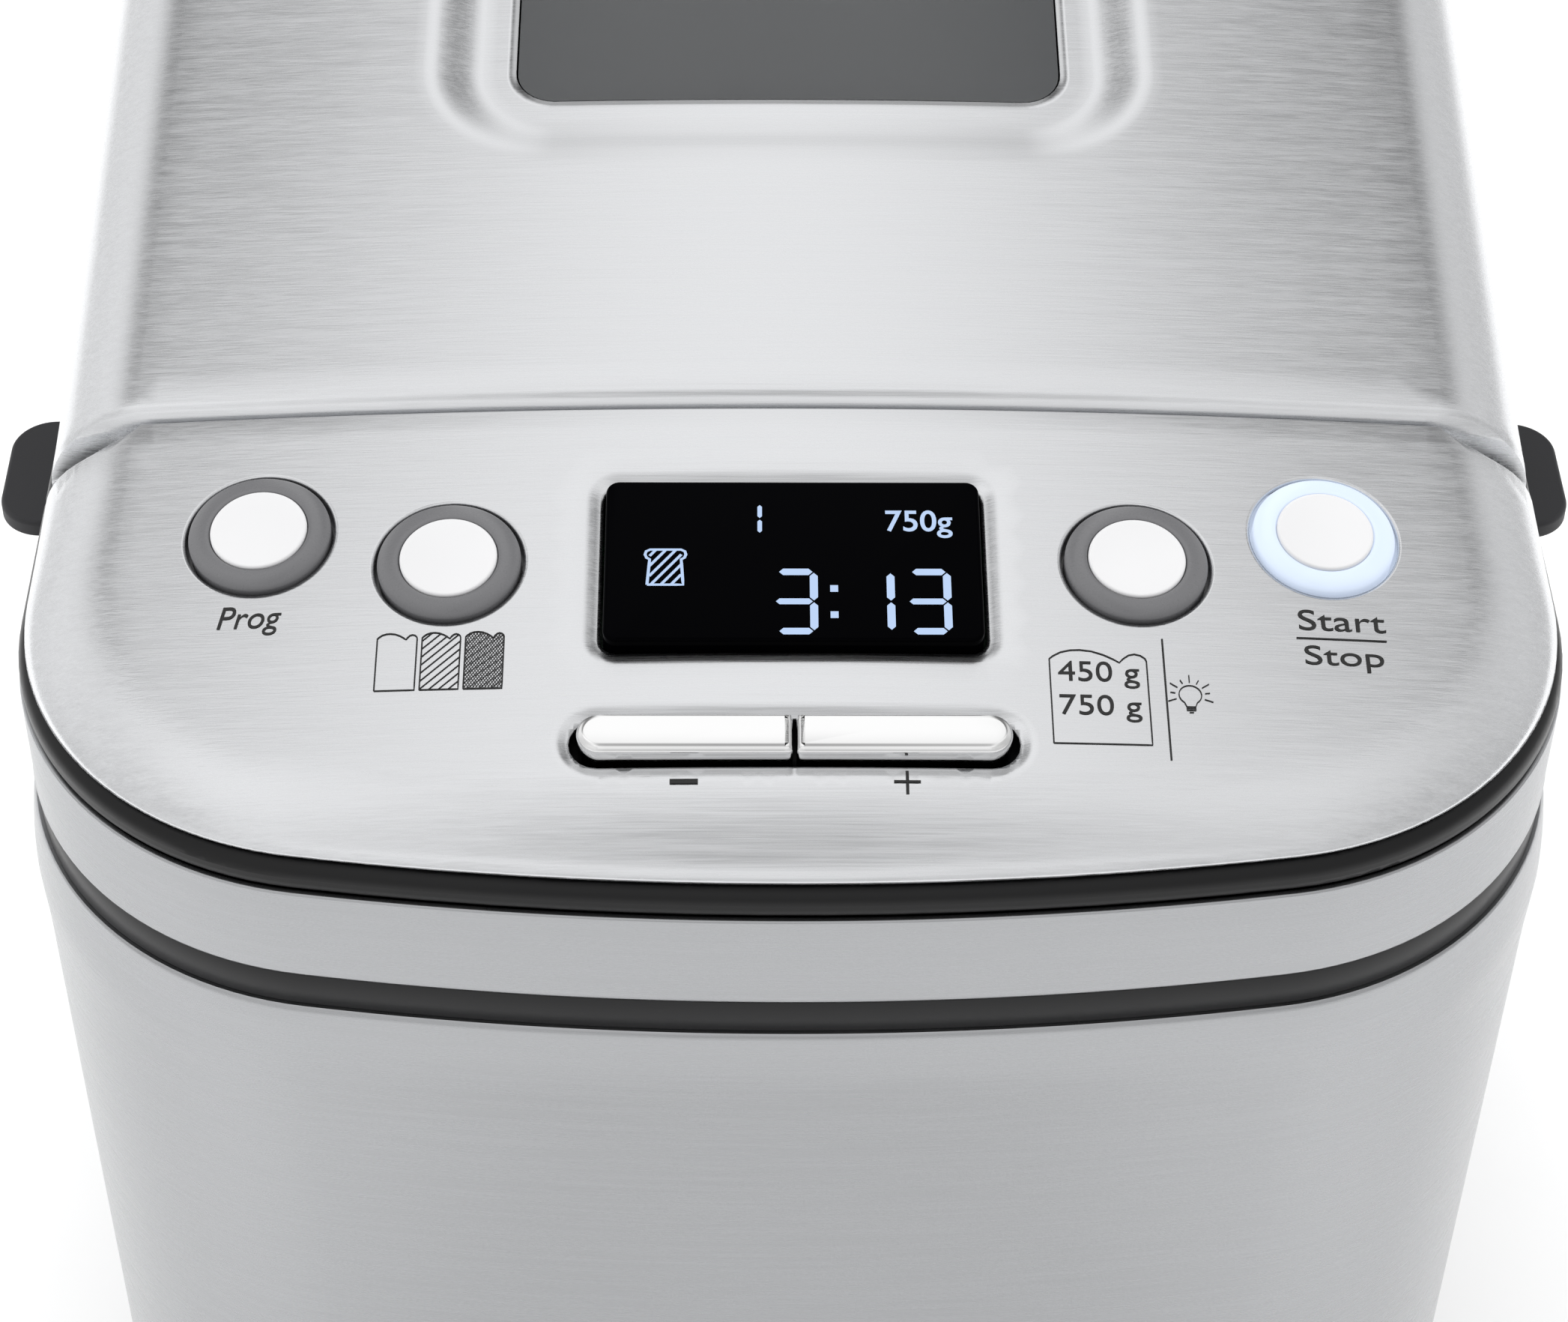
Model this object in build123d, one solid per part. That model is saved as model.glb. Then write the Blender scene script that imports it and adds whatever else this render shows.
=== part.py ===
from build123d import *
import math
import os

# Bread machine for small loaves. Millimetres, +Z up, the front faces -Y, +X is to the right of a person
# facing the machine. The origin is on the surface it stands on, under the centre of its bounding box.

# ---- driving dimensions -------------------------------------------------------------------------------
HALF_WIDTH = 110.0          # black trim, outside
FRONT_Y = -174.0            # black trim, outside, at the centre of the front
REAR_Y = 164.0              # black trim, outside, at the back
TRIM_Z = 240.0              # parting plane of the lid: middle of the black trim
FRONT_CORNER_R = 50.0
FRONT_CORNER_SETBACK = 54.5 # from the front centre to the centres of the front corners
REAR_CORNER_R = 40.0
SEAM_Y = -94.0              # joint between control cover and lid
SEAM_HALF_GAP = 0.6
SKIN = 0.8                  # brushed steel of the cover and the lid
WALL = 1.0                  # brushed steel of the body
FIT = 0.06                  # radial clearance of a shaft in its bush
SCREW_R = 1.45              # M3 shank
SCREW_HOLE_R = 1.5

# Top surface: slopes up from the front, crowned across, then levels off over the chamber
SLOPE = math.tan(math.radians(9.6))
CROWN = 0.00037             # drop per square millimetre from the centre line
PANEL_Y = -131.5            # reference line across the control cover
PANEL_RISE = 13.9           # height of that line above the trim plane
LEVEL_START_Y = -2.0
LEVEL_END_Y = 58.0
SHOULDER_R = 14.0           # rolled edge of the cover and the lid
SKIN_INSET = 1.2
SKIN_FOOT = 3.6             # lower edge of the skins above the trim plane

# Trim, bands and body, as offsets from the trim outline and heights from the trim plane
BEAD_LOW = -3.0
BEAD_HIGH = 2.3
BEAD_EDGE_R = 2.2
GROOVE_OUT = -3.5
GROOVE_IN = -7.5
RIB_IN = -9.5
LEDGE_IN = -14.0
UPPER_BAND_OUT = 0.3
UPPER_BAND_THICK = 0.9
UPPER_BAND_LOW = -18.9
UPPER_BAND_HIGH = -2.7
LOWER_BAND_OUT = 0.1
LOWER_BAND_THICK = 1.5
LOWER_BAND_LOW = -25.0
LOWER_BAND_HIGH = -18.95
BODY_FOOT_Z = 9.0
BODY_OUT_FOOT = -0.75
BODY_PROFILE = (            # height and offset of the wall's outer face
    (BODY_FOOT_Z, BODY_OUT_FOOT),
    (192.0, 1.5),
    (204.0, 2.0),
    (TRIM_Z + LOWER_BAND_LOW, 0.9),
)
BASE_THICK = 3.0
BASE_Z = BODY_FOOT_Z - BASE_THICK
FLANGE_WIDTH = 9.0

# Control cover
DISPLAY_SIZE = (52.6, 28.2)
DISPLAY_Y = -123.4
DISPLAY_PROUD = 1.5
DISPLAY_DEEP = 3.0
ROUND_BUTTONS = {
    "prog": (-75.1, -116.3),
    "option": (-48.1, -122.2),
    "loaf_size": (48.1, -122.2),
    "start": (75.1, -116.3),
}
BUTTON_HOLE_R = 10.6
RING_R = 10.1
CAP_R = 6.85
RING_SKIRT = 3.6
BUTTON_TRAVEL = 1.0
KEY_POCKET = (61.2, 8.0)
KEY_POCKET_Y = -152.9
KEY_Y = -153.1
KEY_SIZE = (29.2, 6.3)
KEY_PROUD = 2.6
KEY_GAP = 0.5
CARRIER_TOP = -8.0          # below the cover's reference plane
CARRIER_THICK = 1.6
BOARD_TOP = -14.0
BOARD_THICK = 1.6
SWITCH_TOP = -9.9
STEM_R = 1.8
STEM_CLEAR = 1.3            # stem above its switch at rest
BOARD_SIZE = (176.0, 50.0)
BOARD_Y = -129.0

# Baking chamber, pan and drive
OVEN_Y = 20.0
LINER_HALF = (84.0, 102.0)
LINER_R = 30.0
LINER_FLOOR = 60.0
LINER_TOP = 232.0
LINER_FLANGE = 7.0
DECK_Z = 228.0
DECK_THICK = 3.0
DECK_OUT = -3.0
PAN_HALF = (62.0, 78.0)
PAN_R = 22.0
PAN_FLOOR = 84.0
PAN_RIM = 202.0
PAN_DRAFT = 4.0             # the floor is this much smaller on each side
PAN_WALL = 1.4
SHAFT_R = 4.0
MOTOR_Y = -132.0
MOTOR_R = 30.0
CHASSIS_Z = 48.0
CHASSIS_THICK = 2.0
PULLEY_LOW = 30.0
PULLEY_HIGH = 42.0
DRIVE_PULLEY_R = 42.0
MOTOR_PULLEY_R = 7.0
BELT_THICK = 1.6
BAIL_Z = 204.0
BAIL_ROD_R = 2.0
BAIL_X = 69.0
BAIL_REACH = 85.0

# Lid hinge
HINGE_Y = 170.6
HINGE_Z = TRIM_Z - 0.35
HINGE_X = 60.0
EAR_R = 6.0
PIN_R = 2.0

# Window in the lid
WINDOW_HALF_X = 42.0
WINDOW_FRONT_Y = -31.3
WINDOW_REAR_Y = 86.0
WINDOW_R = 6.0
RECESS_GROW = 10.5         # panel pressed in round the window, beyond its edge
RECESS_DEEP = 1.8

# Side grips
GRIP_Y = -39.5
GRIP_LENGTH = 26.0
GRIP_REACH = 128.5
GRIP_TOP = 200.0
GRIP_THICK = 2.8


# ---- small helpers ------------------------------------------------------------------------------------
def block(x0, x1, y0, y1, z0, z1):
    middle = Pos((x0 + x1) / 2, (y0 + y1) / 2, (z0 + z1) / 2)
    return middle * Box(x1 - x0, y1 - y0, z1 - z0)


def post(r, z0, z1, x=0.0, y=0.0):
    return Pos(x, y, (z0 + z1) / 2) * Cylinder(r, z1 - z0)


def rounded_block(half_x, half_y, r, z0, z1, x=0.0, y=0.0):
    return Pos(x, y, z0) * extrude(RectangleRounded(2 * half_x, 2 * half_y, r), z1 - z0)


def rod_x(r, x0, x1, y, z):
    return Pos((x0 + x1) / 2, y, z) * Rot(0, 90, 0) * Cylinder(r, x1 - x0)


def rod_y(r, y0, y1, x, z):
    return Pos(x, (y0 + y1) / 2, z) * Rot(90, 0, 0) * Cylinder(r, y1 - y0)


def solid(shape):
    """The one solid of a shape, or the shape itself when it holds several."""
    found = shape.solids()
    return found[0] if len(found) == 1 else Compound(children=list(found))


# ---- plan outline and top surface ---------------------------------------------------------------------
def bow_radius():
    """Radius of the front whose arc is tangent to both front corners."""
    corner_x = HALF_WIDTH - FRONT_CORNER_R
    slack = FRONT_CORNER_SETBACK - FRONT_CORNER_R
    return (corner_x**2 + FRONT_CORNER_SETBACK**2 - FRONT_CORNER_R**2) / (2 * slack)


def plan_face(offset, z):
    """Outline of the machine from above, grown by an offset: bowed front, round corners, flat back."""
    bow = bow_radius()
    bow_centre = Vector(0, FRONT_Y + bow)
    corner = Vector(HALF_WIDTH - FRONT_CORNER_R, FRONT_Y + FRONT_CORNER_SETBACK)
    toward = (corner - bow_centre).normalized()
    join = bow_centre + toward * (bow + offset)
    half_turn = (toward + Vector(1, 0)).normalized()
    front_mid = corner + half_turn * (FRONT_CORNER_R + offset)
    side = HALF_WIDTH + offset
    rear_r = REAR_CORNER_R + offset
    rear_corner = Vector(HALF_WIDTH - REAR_CORNER_R, REAR_Y - REAR_CORNER_R)
    rear_mid = rear_corner + Vector(1, 1).normalized() * rear_r
    back = REAR_Y + offset
    edges = [
        ThreePointArc((-join.X, join.Y), (0, FRONT_Y - offset), (join.X, join.Y)),
        ThreePointArc((join.X, join.Y), (front_mid.X, front_mid.Y), (side, corner.Y)),
        Line((side, corner.Y), (side, rear_corner.Y)),
        ThreePointArc((side, rear_corner.Y), (rear_mid.X, rear_mid.Y), (rear_corner.X, back)),
        Line((rear_corner.X, back), (-rear_corner.X, back)),
        ThreePointArc((-rear_corner.X, back), (-rear_mid.X, rear_mid.Y), (-side, rear_corner.Y)),
        Line((-side, rear_corner.Y), (-side, corner.Y)),
        ThreePointArc((-side, corner.Y), (-front_mid.X, front_mid.Y), (-join.X, join.Y)),
    ]
    return Pos(0, 0, z) * make_face(edges)


def plan_block(offset, z0, z1):
    return extrude(plan_face(offset, z0), z1 - z0)


def plan_ring(outer, inner, z0, z1):
    return plan_block(outer, z0, z1) - plan_block(inner, z0, z1)


def plan_taper(offset_low, offset_high, z0, z1):
    return loft([plan_face(offset_low, z0), plan_face(offset_high, z1)], ruled=True)


def body_block(extra):
    """Solid out to the body wall, grown by an extra: a straight taper with a swelling at the top."""
    spans = zip(BODY_PROFILE, BODY_PROFILE[1:])
    tapers = [plan_taper(low + extra, high + extra, z0, z1) for (z0, low), (z1, high) in spans]
    return tapers[0] + tapers[1] + tapers[2]


def top_height(x, y):
    """Height of the top surface: straight slope, parabolic blend, level back, crowned across."""
    rise = SLOPE * (min(y, LEVEL_START_Y) - PANEL_Y)
    blend = min(max(y - LEVEL_START_Y, 0.0), LEVEL_END_Y - LEVEL_START_Y)
    rise += SLOPE * (blend - blend**2 / (2 * (LEVEL_END_Y - LEVEL_START_Y)))
    return TRIM_Z + PANEL_RISE + rise - CROWN * x**2


def dome(inset, drop, shoulder):
    """Everything under the top surface, lowered by a drop, inside the outline less an inset."""
    reach_x = HALF_WIDTH + 10
    step_x = 2 * reach_x / 16
    step_y = (REAR_Y - FRONT_Y + 20) / 36
    xs = [-reach_x + step_x * i for i in range(17)]
    ys = [FRONT_Y - 10 + step_y * j for j in range(37)]
    grid = [[Vector(x, y, top_height(x, y) - drop) for y in ys] for x in xs]
    surface = Face.make_surface_from_array_of_points(grid)
    under = extrude(surface, amount=90, dir=(0, 0, -1))
    body = under & plan_block(-inset, TRIM_Z - 20, TRIM_Z + 70)
    crest = body.faces().sort_by(Axis.Z)[-1]
    return fillet(crest.edges(), shoulder)


def cover_frame(x, y):
    """Plane touching the control cover at x, y, with its normal outward."""
    normal = Vector(2 * CROWN * x, -SLOPE, 1).normalized()
    return Plane((x, y, top_height(x, y)), x_dir=(1, 0, -2 * CROWN * x), z_dir=normal)


REFERENCE = cover_frame(0.0, BOARD_Y)


# ---- body -------------------------------------------------------------------------------------------
def base_screw_points():
    inset = 6.0
    xs = HALF_WIDTH - inset
    return [(-xs, -90), (xs, -90), (-xs, 90), (xs, 90), (0, FRONT_Y + inset), (0, REAR_Y - inset)]


def foot_points():
    return [(sx * 82, y) for sx in (-1, 1) for y in (-128, 130)]


def make_body_shell():
    shell = body_block(0.0) - body_block(-WALL)
    flange = plan_ring(BODY_OUT_FOOT - WALL / 2, -FLANGE_WIDTH, BODY_FOOT_Z, BODY_FOOT_Z + 1.2)
    shell = shell + flange
    for x, y in base_screw_points():
        shell -= post(1.6, BODY_FOOT_Z - 1, BODY_FOOT_Z + 3, x, y)
    for i in range(9):
        x = -40 + 10 * i
        shell -= block(x - 1.6, x + 1.6, REAR_Y - 5, REAR_Y + 6, 84, 124)
    shell -= rod_y(8.1, REAR_Y - 6, REAR_Y + 6, 70, 38)
    return shell


def make_base_plate():
    plate = plan_block(-1.0, BASE_Z, BASE_Z + BASE_THICK)
    for x, y in base_screw_points():
        plate -= post(1.6, BASE_Z - 1, BASE_Z + 5, x, y)
        plate -= post(3.6, BASE_Z - 1, BASE_Z + 1.4, x, y)
    for x, y in foot_points():
        plate -= post(3.05, BASE_Z - 1, BASE_Z + 5, x, y)
    for i in range(9):
        y = -48 + 12 * i
        plate -= block(-45, 45, y - 1.8, y + 1.8, BASE_Z - 1, BASE_Z + 5)
    return plate


def make_rubber_feet():
    feet = []
    for x, y in foot_points():
        pad = fillet(post(9.0, 0, BASE_Z, x, y).edges().sort_by(Axis.Z)[0], 1.2)
        feet.append(solid(pad + post(3.0, BASE_Z, BASE_Z + BASE_THICK - 0.2, x, y)))
    return feet


def make_base_screws():
    screws = []
    for x, y in base_screw_points():
        head = post(3.2, BASE_Z + 0.1, BASE_Z + 1.4, x, y)
        head -= block(x - 3.5, x + 3.5, y - 0.5, y + 0.5, BASE_Z, BASE_Z + 0.8)
        screws.append(solid(head + post(1.5, BASE_Z + 1.4, BASE_Z + 7, x, y)))
    return screws


def make_lower_band():
    inner = LOWER_BAND_OUT - LOWER_BAND_THICK
    return plan_ring(LOWER_BAND_OUT, inner, TRIM_Z + LOWER_BAND_LOW, TRIM_Z + LOWER_BAND_HIGH)


def make_upper_band():
    inner = UPPER_BAND_OUT - UPPER_BAND_THICK
    return plan_ring(UPPER_BAND_OUT, inner, TRIM_Z + UPPER_BAND_LOW, TRIM_Z + UPPER_BAND_HIGH)


def trim_ring():
    """Closed ring of the black trim: round bead, groove, rib and inner ledge."""
    bead = plan_block(0.0, TRIM_Z + BEAD_LOW, TRIM_Z + BEAD_HIGH)
    faces = bead.faces().sort_by(Axis.Z)
    bead = fillet(faces[0].edges() + faces[-1].edges(), BEAD_EDGE_R)
    bead -= plan_block(RIB_IN, TRIM_Z + BEAD_LOW, TRIM_Z + BEAD_HIGH)
    bead -= plan_ring(GROOVE_OUT, GROOVE_IN, TRIM_Z + 1.0, TRIM_Z + BEAD_HIGH)
    rib = plan_ring(GROOVE_IN, RIB_IN, TRIM_Z + 1.0, TRIM_Z + 3.2)
    ledge = plan_ring(RIB_IN + 0.5, LEDGE_IN, TRIM_Z - 1.0, TRIM_Z + 1.0)
    return bead + rib + ledge


def seam_rail(y0, y1):
    """Straight rail of trim along the joint between cover and lid."""
    span = block(-HALF_WIDTH, HALF_WIDTH, y0, y1, TRIM_Z + BEAD_LOW, TRIM_Z + 1.0)
    return span & plan_block(GROOVE_OUT, TRIM_Z + BEAD_LOW, TRIM_Z + 1.0)


def front_half(y):
    return block(-200, 200, -400, y, -10, 400)


def rear_half(y):
    return block(-200, 200, y, 400, -10, 400)


def make_front_trim():
    edge = SEAM_Y - SEAM_HALF_GAP
    return (trim_ring() & front_half(edge)) + seam_rail(edge - 5, edge)


def make_side_grip(side):
    """Thin rounded tab with a wall pad and two ribs underneath."""
    wall_x = HALF_WIDTH - 2
    tab = block(wall_x, GRIP_REACH, GRIP_Y - GRIP_LENGTH / 2, GRIP_Y + GRIP_LENGTH / 2,
                GRIP_TOP - GRIP_THICK, GRIP_TOP)
    corners = tab.edges().filter_by(Axis.Z).sort_by(Axis.X)[-2:]
    tab = fillet(corners, 7.0)
    tab = fillet(tab.faces().sort_by(Axis.Z)[-1].edges(), 0.8)
    pad = block(wall_x, HALF_WIDTH + 5.2, GRIP_Y - 10, GRIP_Y + 10, GRIP_TOP - 18, GRIP_TOP - 1)
    ribs = Part()
    for y in (GRIP_Y - 7, GRIP_Y + 7):
        rib = Polyline((wall_x, GRIP_TOP - 16), (GRIP_REACH - 5, GRIP_TOP - 2), (wall_x, GRIP_TOP - 2), close=True)
        ribs += Plane.XZ.offset(-y - 1) * extrude(make_face(rib), 2)
    grip = tab + pad + ribs - body_block(0.05)
    return grip if side > 0 else mirror(grip, Plane.YZ)


def make_cord_gland():
    y_wall = REAR_Y + 0.6
    flange = rod_y(11.0, y_wall - 0.8, y_wall + 3.2, 70, 38)
    sleeve = rod_y(7.0, y_wall + 3.2, y_wall + 11.0, 70, 38)
    barrel = rod_y(8.0, y_wall - 9.0, y_wall - 0.8, 70, 38)
    gland = flange + sleeve + barrel
    return gland - rod_y(3.6, y_wall - 10.0, y_wall + 12.0, 70, 38)


# ---- control cover and what is under it ---------------------------------------------------------------
def make_control_cover(outer, inner):
    edge = SEAM_Y - SEAM_HALF_GAP
    cover = (outer - inner) & front_half(edge)
    cover += outer & block(-200, 200, edge - SKIN, edge, -10, 400)
    cover &= block(-200, 200, -400, 400, TRIM_Z + SKIN_FOOT, 400)
    window = extrude(RectangleRounded(DISPLAY_SIZE[0] + 0.8, DISPLAY_SIZE[1] + 0.8, 2.2), 10, both=True)
    cover -= cover_frame(0.0, DISPLAY_Y) * window
    for x, y in ROUND_BUTTONS.values():
        cover -= cover_frame(x, y) * Cylinder(BUTTON_HOLE_R, 16)
    pocket = extrude(SlotOverall(*KEY_POCKET), 8, both=True)
    return cover - cover_frame(0.0, KEY_POCKET_Y) * pocket


def make_display_lens():
    lens = extrude(RectangleRounded(*DISPLAY_SIZE, 1.9), DISPLAY_PROUD + DISPLAY_DEEP)
    lens = fillet(lens.faces().sort_by(Axis.Z)[-1].edges(), 0.5)
    return cover_frame(0.0, DISPLAY_Y) * Pos(0, 0, -DISPLAY_DEEP) * lens


def make_lcd_module():
    frame = cover_frame(0.0, DISPLAY_Y)
    bottom = BOARD_TOP + 0.1
    height = -DISPLAY_DEEP - 0.2 - bottom
    module = rounded_block(24.5, 12.8, 1.0, bottom, bottom + height)
    module -= rounded_block(22.0, 10.0, 0.6, bottom + height - 0.6, bottom + height + 1)
    return frame * module


def in_reference(x, y):
    """Where the point x, y of the cover lies in the plane of the boards."""
    return REFERENCE.to_local_coords(Vector(x, y, top_height(x, y)))


def switch_points():
    keys = [(sx * 15.2, KEY_Y) for sx in (-1, 1)]
    return [in_reference(x, y) for x, y in list(ROUND_BUTTONS.values()) + keys]


def carrier_posts():
    return [(sx * x, y) for sx in (-1, 1) for x, y in ((62, -18), (80, 18))]


def inside_trim(shape):
    """The part of a plate in the boards' plane that fits inside the trim's ledge."""
    return (REFERENCE * shape) & plan_block(LEDGE_IN - 0.5, TRIM_Z - 60, TRIM_Z + 60)


def make_button_carrier():
    half_x, half_y = BOARD_SIZE[0] / 2, BOARD_SIZE[1] / 2
    plate = rounded_block(half_x, half_y, 8, CARRIER_TOP - CARRIER_THICK, CARRIER_TOP)
    display = in_reference(0.0, DISPLAY_Y)
    plate -= rounded_block(27.5, 15.5, 2, CARRIER_TOP - 3, CARRIER_TOP + 2, 0, display.Y)
    for p in switch_points():
        plate -= post(3.4, CARRIER_TOP - 3, CARRIER_TOP + 2, p.X, p.Y)
    for x, y in carrier_posts():
        plate += post(3.0, BOARD_TOP + 0.05, CARRIER_TOP - CARRIER_THICK, x, y)
        plate -= post(SCREW_HOLE_R, BOARD_TOP - 1, CARRIER_TOP - CARRIER_THICK, x, y)
    return inside_trim(plate)


def make_control_board():
    half_x, half_y = BOARD_SIZE[0] / 2, BOARD_SIZE[1] / 2
    board = rounded_block(half_x, half_y, 6, BOARD_TOP - BOARD_THICK, BOARD_TOP)
    for x, y in carrier_posts():
        board -= post(SCREW_HOLE_R, BOARD_TOP - 3, BOARD_TOP + 1, x, y)
    processor = rounded_block(7, 7, 0.5, BOARD_TOP - BOARD_THICK - 1.8, BOARD_TOP - BOARD_THICK, 30, 0)
    header = rounded_block(12, 3, 0.5, BOARD_TOP - BOARD_THICK - 6, BOARD_TOP - BOARD_THICK, -40, -12)
    return inside_trim(board + processor + header)


def make_tact_switches():
    switches = []
    for p in switch_points():
        case = rounded_block(3.0, 3.0, 0.4, BOARD_TOP + 0.02, SWITCH_TOP - 0.8, p.X, p.Y)
        switches.append(solid(REFERENCE * (case + post(1.7, SWITCH_TOP - 0.8, SWITCH_TOP, p.X, p.Y))))
    return switches


def m3_screw(length):
    """Pan-head screw, head above the local origin, shank below."""
    head = fillet(post(2.7, 0.02, 2.0).edges().sort_by(Axis.Z)[-1], 0.8)
    head -= block(-0.4, 0.4, -2.0, 2.0, 1.2, 3)
    return solid(head + post(SCREW_R, -length, 0.02))


def make_m3_screws():
    screws = []
    below = REFERENCE * Pos(0, 0, BOARD_TOP - BOARD_THICK) * Rot(180, 0, 0)
    for x, y in carrier_posts():
        screws.append(below * Pos(x, -y, 0) * m3_screw(4.5))
    for x, y in motor_screw_points():
        screws.append(Pos(x, y, CHASSIS_Z) * Rot(180, 0, 0) * m3_screw(7.0))
    for x, y in bearing_screw_points():
        screws.append(Pos(x, y, CHASSIS_Z + CHASSIS_THICK + 3) * m3_screw(7.0))
    return screws


def stem_length(x, y):
    """From the cover's surface down to the stem's end above its switch."""
    drop = in_reference(x, y).Z
    return drop - (SWITCH_TOP + STEM_CLEAR)


def make_button_ring(x, y):
    """Domed ring with a recess for its cap, a retaining flange and a stem."""
    profile = Polyline(
        (0, -RING_SKIRT), (RING_R + 1.4, -RING_SKIRT), (RING_R + 1.4, -RING_SKIRT + 1.2),
        (RING_R, -RING_SKIRT + 1.2), (RING_R, 0.2))
    dome_edge = ThreePointArc((RING_R, 0.2), (RING_R - 1.3, 1.15), (CAP_R + 0.1, 1.3))
    recess = Polyline((CAP_R + 0.1, 1.3), (CAP_R + 0.1, -0.6), (0, -0.6), (0, -RING_SKIRT))
    ring = revolve(Plane.XZ * make_face([*profile.edges(), dome_edge, *recess.edges()]), Axis.Z)
    ring += post(STEM_R, -stem_length(x, y), -RING_SKIRT)
    return cover_frame(x, y) * ring


def make_button_cap(x, y):
    cap = post(CAP_R, -0.6, 1.55)
    cap = fillet(cap.edges().sort_by(Axis.Z)[-1], 0.35)
    return cover_frame(x, y) * cap


def make_key(side):
    """Key bar: outer end fully round, inner end square, rounded top edges."""
    length, depth = KEY_SIZE
    inner_x = KEY_GAP / 2
    bar = SlotOverall(2 * (length + inner_x), depth)
    bar &= Pos(length / 2 + inner_x, 0) * Rectangle(length, depth)
    key = extrude(bar, KEY_PROUD + 2.4)
    key = fillet(key.faces().sort_by(Axis.Z)[-1].edges(), 1.1)
    key = Pos(0, 0, -2.4) * key
    catch = block(inner_x, length - 4, -depth / 2 - 1.2, depth / 2 + 1.2, -RING_SKIRT, -2.4)
    key = key + catch + post(STEM_R, -stem_length(15.2, KEY_Y), -RING_SKIRT, 15.2, 0)
    if side < 0:
        key = mirror(key, Plane.YZ)
    return cover_frame(0.0, KEY_Y) * key


def make_power_board():
    """Mains board standing along the right wall, parts facing inward."""
    board = block(90, 91.6, -150, -96, 62, 176)
    board += block(66, 90, -146, -112, 70, 104)
    board += block(74, 90, -142, -122, 112, 138)
    board += rod_x(8, 66, 90, -108, 152)
    return board + block(80, 90, -146, -124, 146, 170)


# ---- baking chamber -----------------------------------------------------------------------------------
def liner_block(grow, z0, z1):
    return rounded_block(LINER_HALF[0] + grow, LINER_HALF[1] + grow, LINER_R + grow, z0, z1, 0, OVEN_Y)


def make_chamber_liner():
    liner = liner_block(0, LINER_FLOOR, LINER_TOP) - liner_block(-WALL, LINER_FLOOR + WALL, LINER_TOP + 1)
    liner += liner_block(LINER_FLANGE, LINER_TOP - WALL, LINER_TOP) - liner_block(-WALL, LINER_TOP - 2, LINER_TOP + 1)
    liner -= post(15.0, LINER_FLOOR - 1, LINER_FLOOR + 3, 0, OVEN_Y)
    front = OVEN_Y - LINER_HALF[1]
    back = OVEN_Y + LINER_HALF[1]
    for x in (-15, 15):
        liner -= rod_y(4.2, front - 4, front + 4, x, 74)
    liner -= rod_y(3.3, front - 4, front + 4, 40, 130)
    return liner - rod_y(12.3, back - 4, back + 4, -45, 198)


def make_top_deck():
    edge = SEAM_Y + 1
    deck = plan_block(DECK_OUT, DECK_Z, DECK_Z + DECK_THICK) & rear_half(edge)
    deck += plan_block(DECK_OUT, DECK_Z - 24, DECK_Z + DECK_THICK) & block(-200, 200, edge, edge + 2, 0, 400)
    return deck - liner_block(0.4, DECK_Z - 30, DECK_Z + DECK_THICK + 1)


def make_chamber_gasket():
    ring = liner_block(LINER_FLANGE - 1, LINER_TOP, LINER_TOP + 5.4)
    ring = fillet(ring.faces().sort_by(Axis.Z)[-1].edges(), 1.5)
    return ring - liner_block(2.0, LINER_TOP - 1, LINER_TOP + 6)


def make_heater_element():
    half_x, z = 73.0, 74.0
    front, back = OVEN_Y - 90.0, OVEN_Y + 90.0
    ends = front - 27.0
    path = FilletPolyline(
        (15, ends, z), (15, front, z), (half_x, front, z), (half_x, back, z),
        (-half_x, back, z), (-half_x, front, z), (-15, front, z), (-15, ends, z),
        radius=[9, 24, 30, 30, 24, 9])
    return sweep(Plane(path @ 0, z_dir=path % 0) * Circle(3.2), path)


def make_temperature_sensor():
    front = OVEN_Y - LINER_HALF[1]
    probe = rod_y(3.0, front - 14, front + 12, 40, 130)
    probe = fillet(probe.edges().sort_by(Axis.Y)[-1], 1.5)
    return probe + rod_y(6.0, front - 4, front - 0.1, 40, 130)


def make_chamber_lamp():
    back = OVEN_Y + LINER_HALF[1]
    lens = rod_y(12.0, back - 3.0, back + 2.0, -45, 198)
    lens = fillet(lens.edges().sort_by(Axis.Y)[0], 1.5)
    return lens + rod_y(15.0, back + 0.1, back + 20.0, -45, 198)


def make_pan_seat():
    """Ring on the chamber floor with two bayonet notches."""
    seat = post(40, LINER_FLOOR + WALL, 72, 0, OVEN_Y) - post(34, LINER_FLOOR, 80, 0, OVEN_Y)
    for sx in (-1, 1):
        seat -= block(sx * 37 - 5, sx * 37 + 5, OVEN_Y - 8, OVEN_Y + 8, 66, 80)
    return seat


# ---- drive --------------------------------------------------------------------------------------------
def motor_screw_points():
    return [(sx * 20, MOTOR_Y + sy * 16) for sx in (-1, 1) for sy in (-1, 1)]


def bearing_screw_points():
    angles = [math.radians(a) for a in (90, 210, 330)]
    return [(19 * math.cos(a), OVEN_Y + 19 * math.sin(a)) for a in angles]


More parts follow.
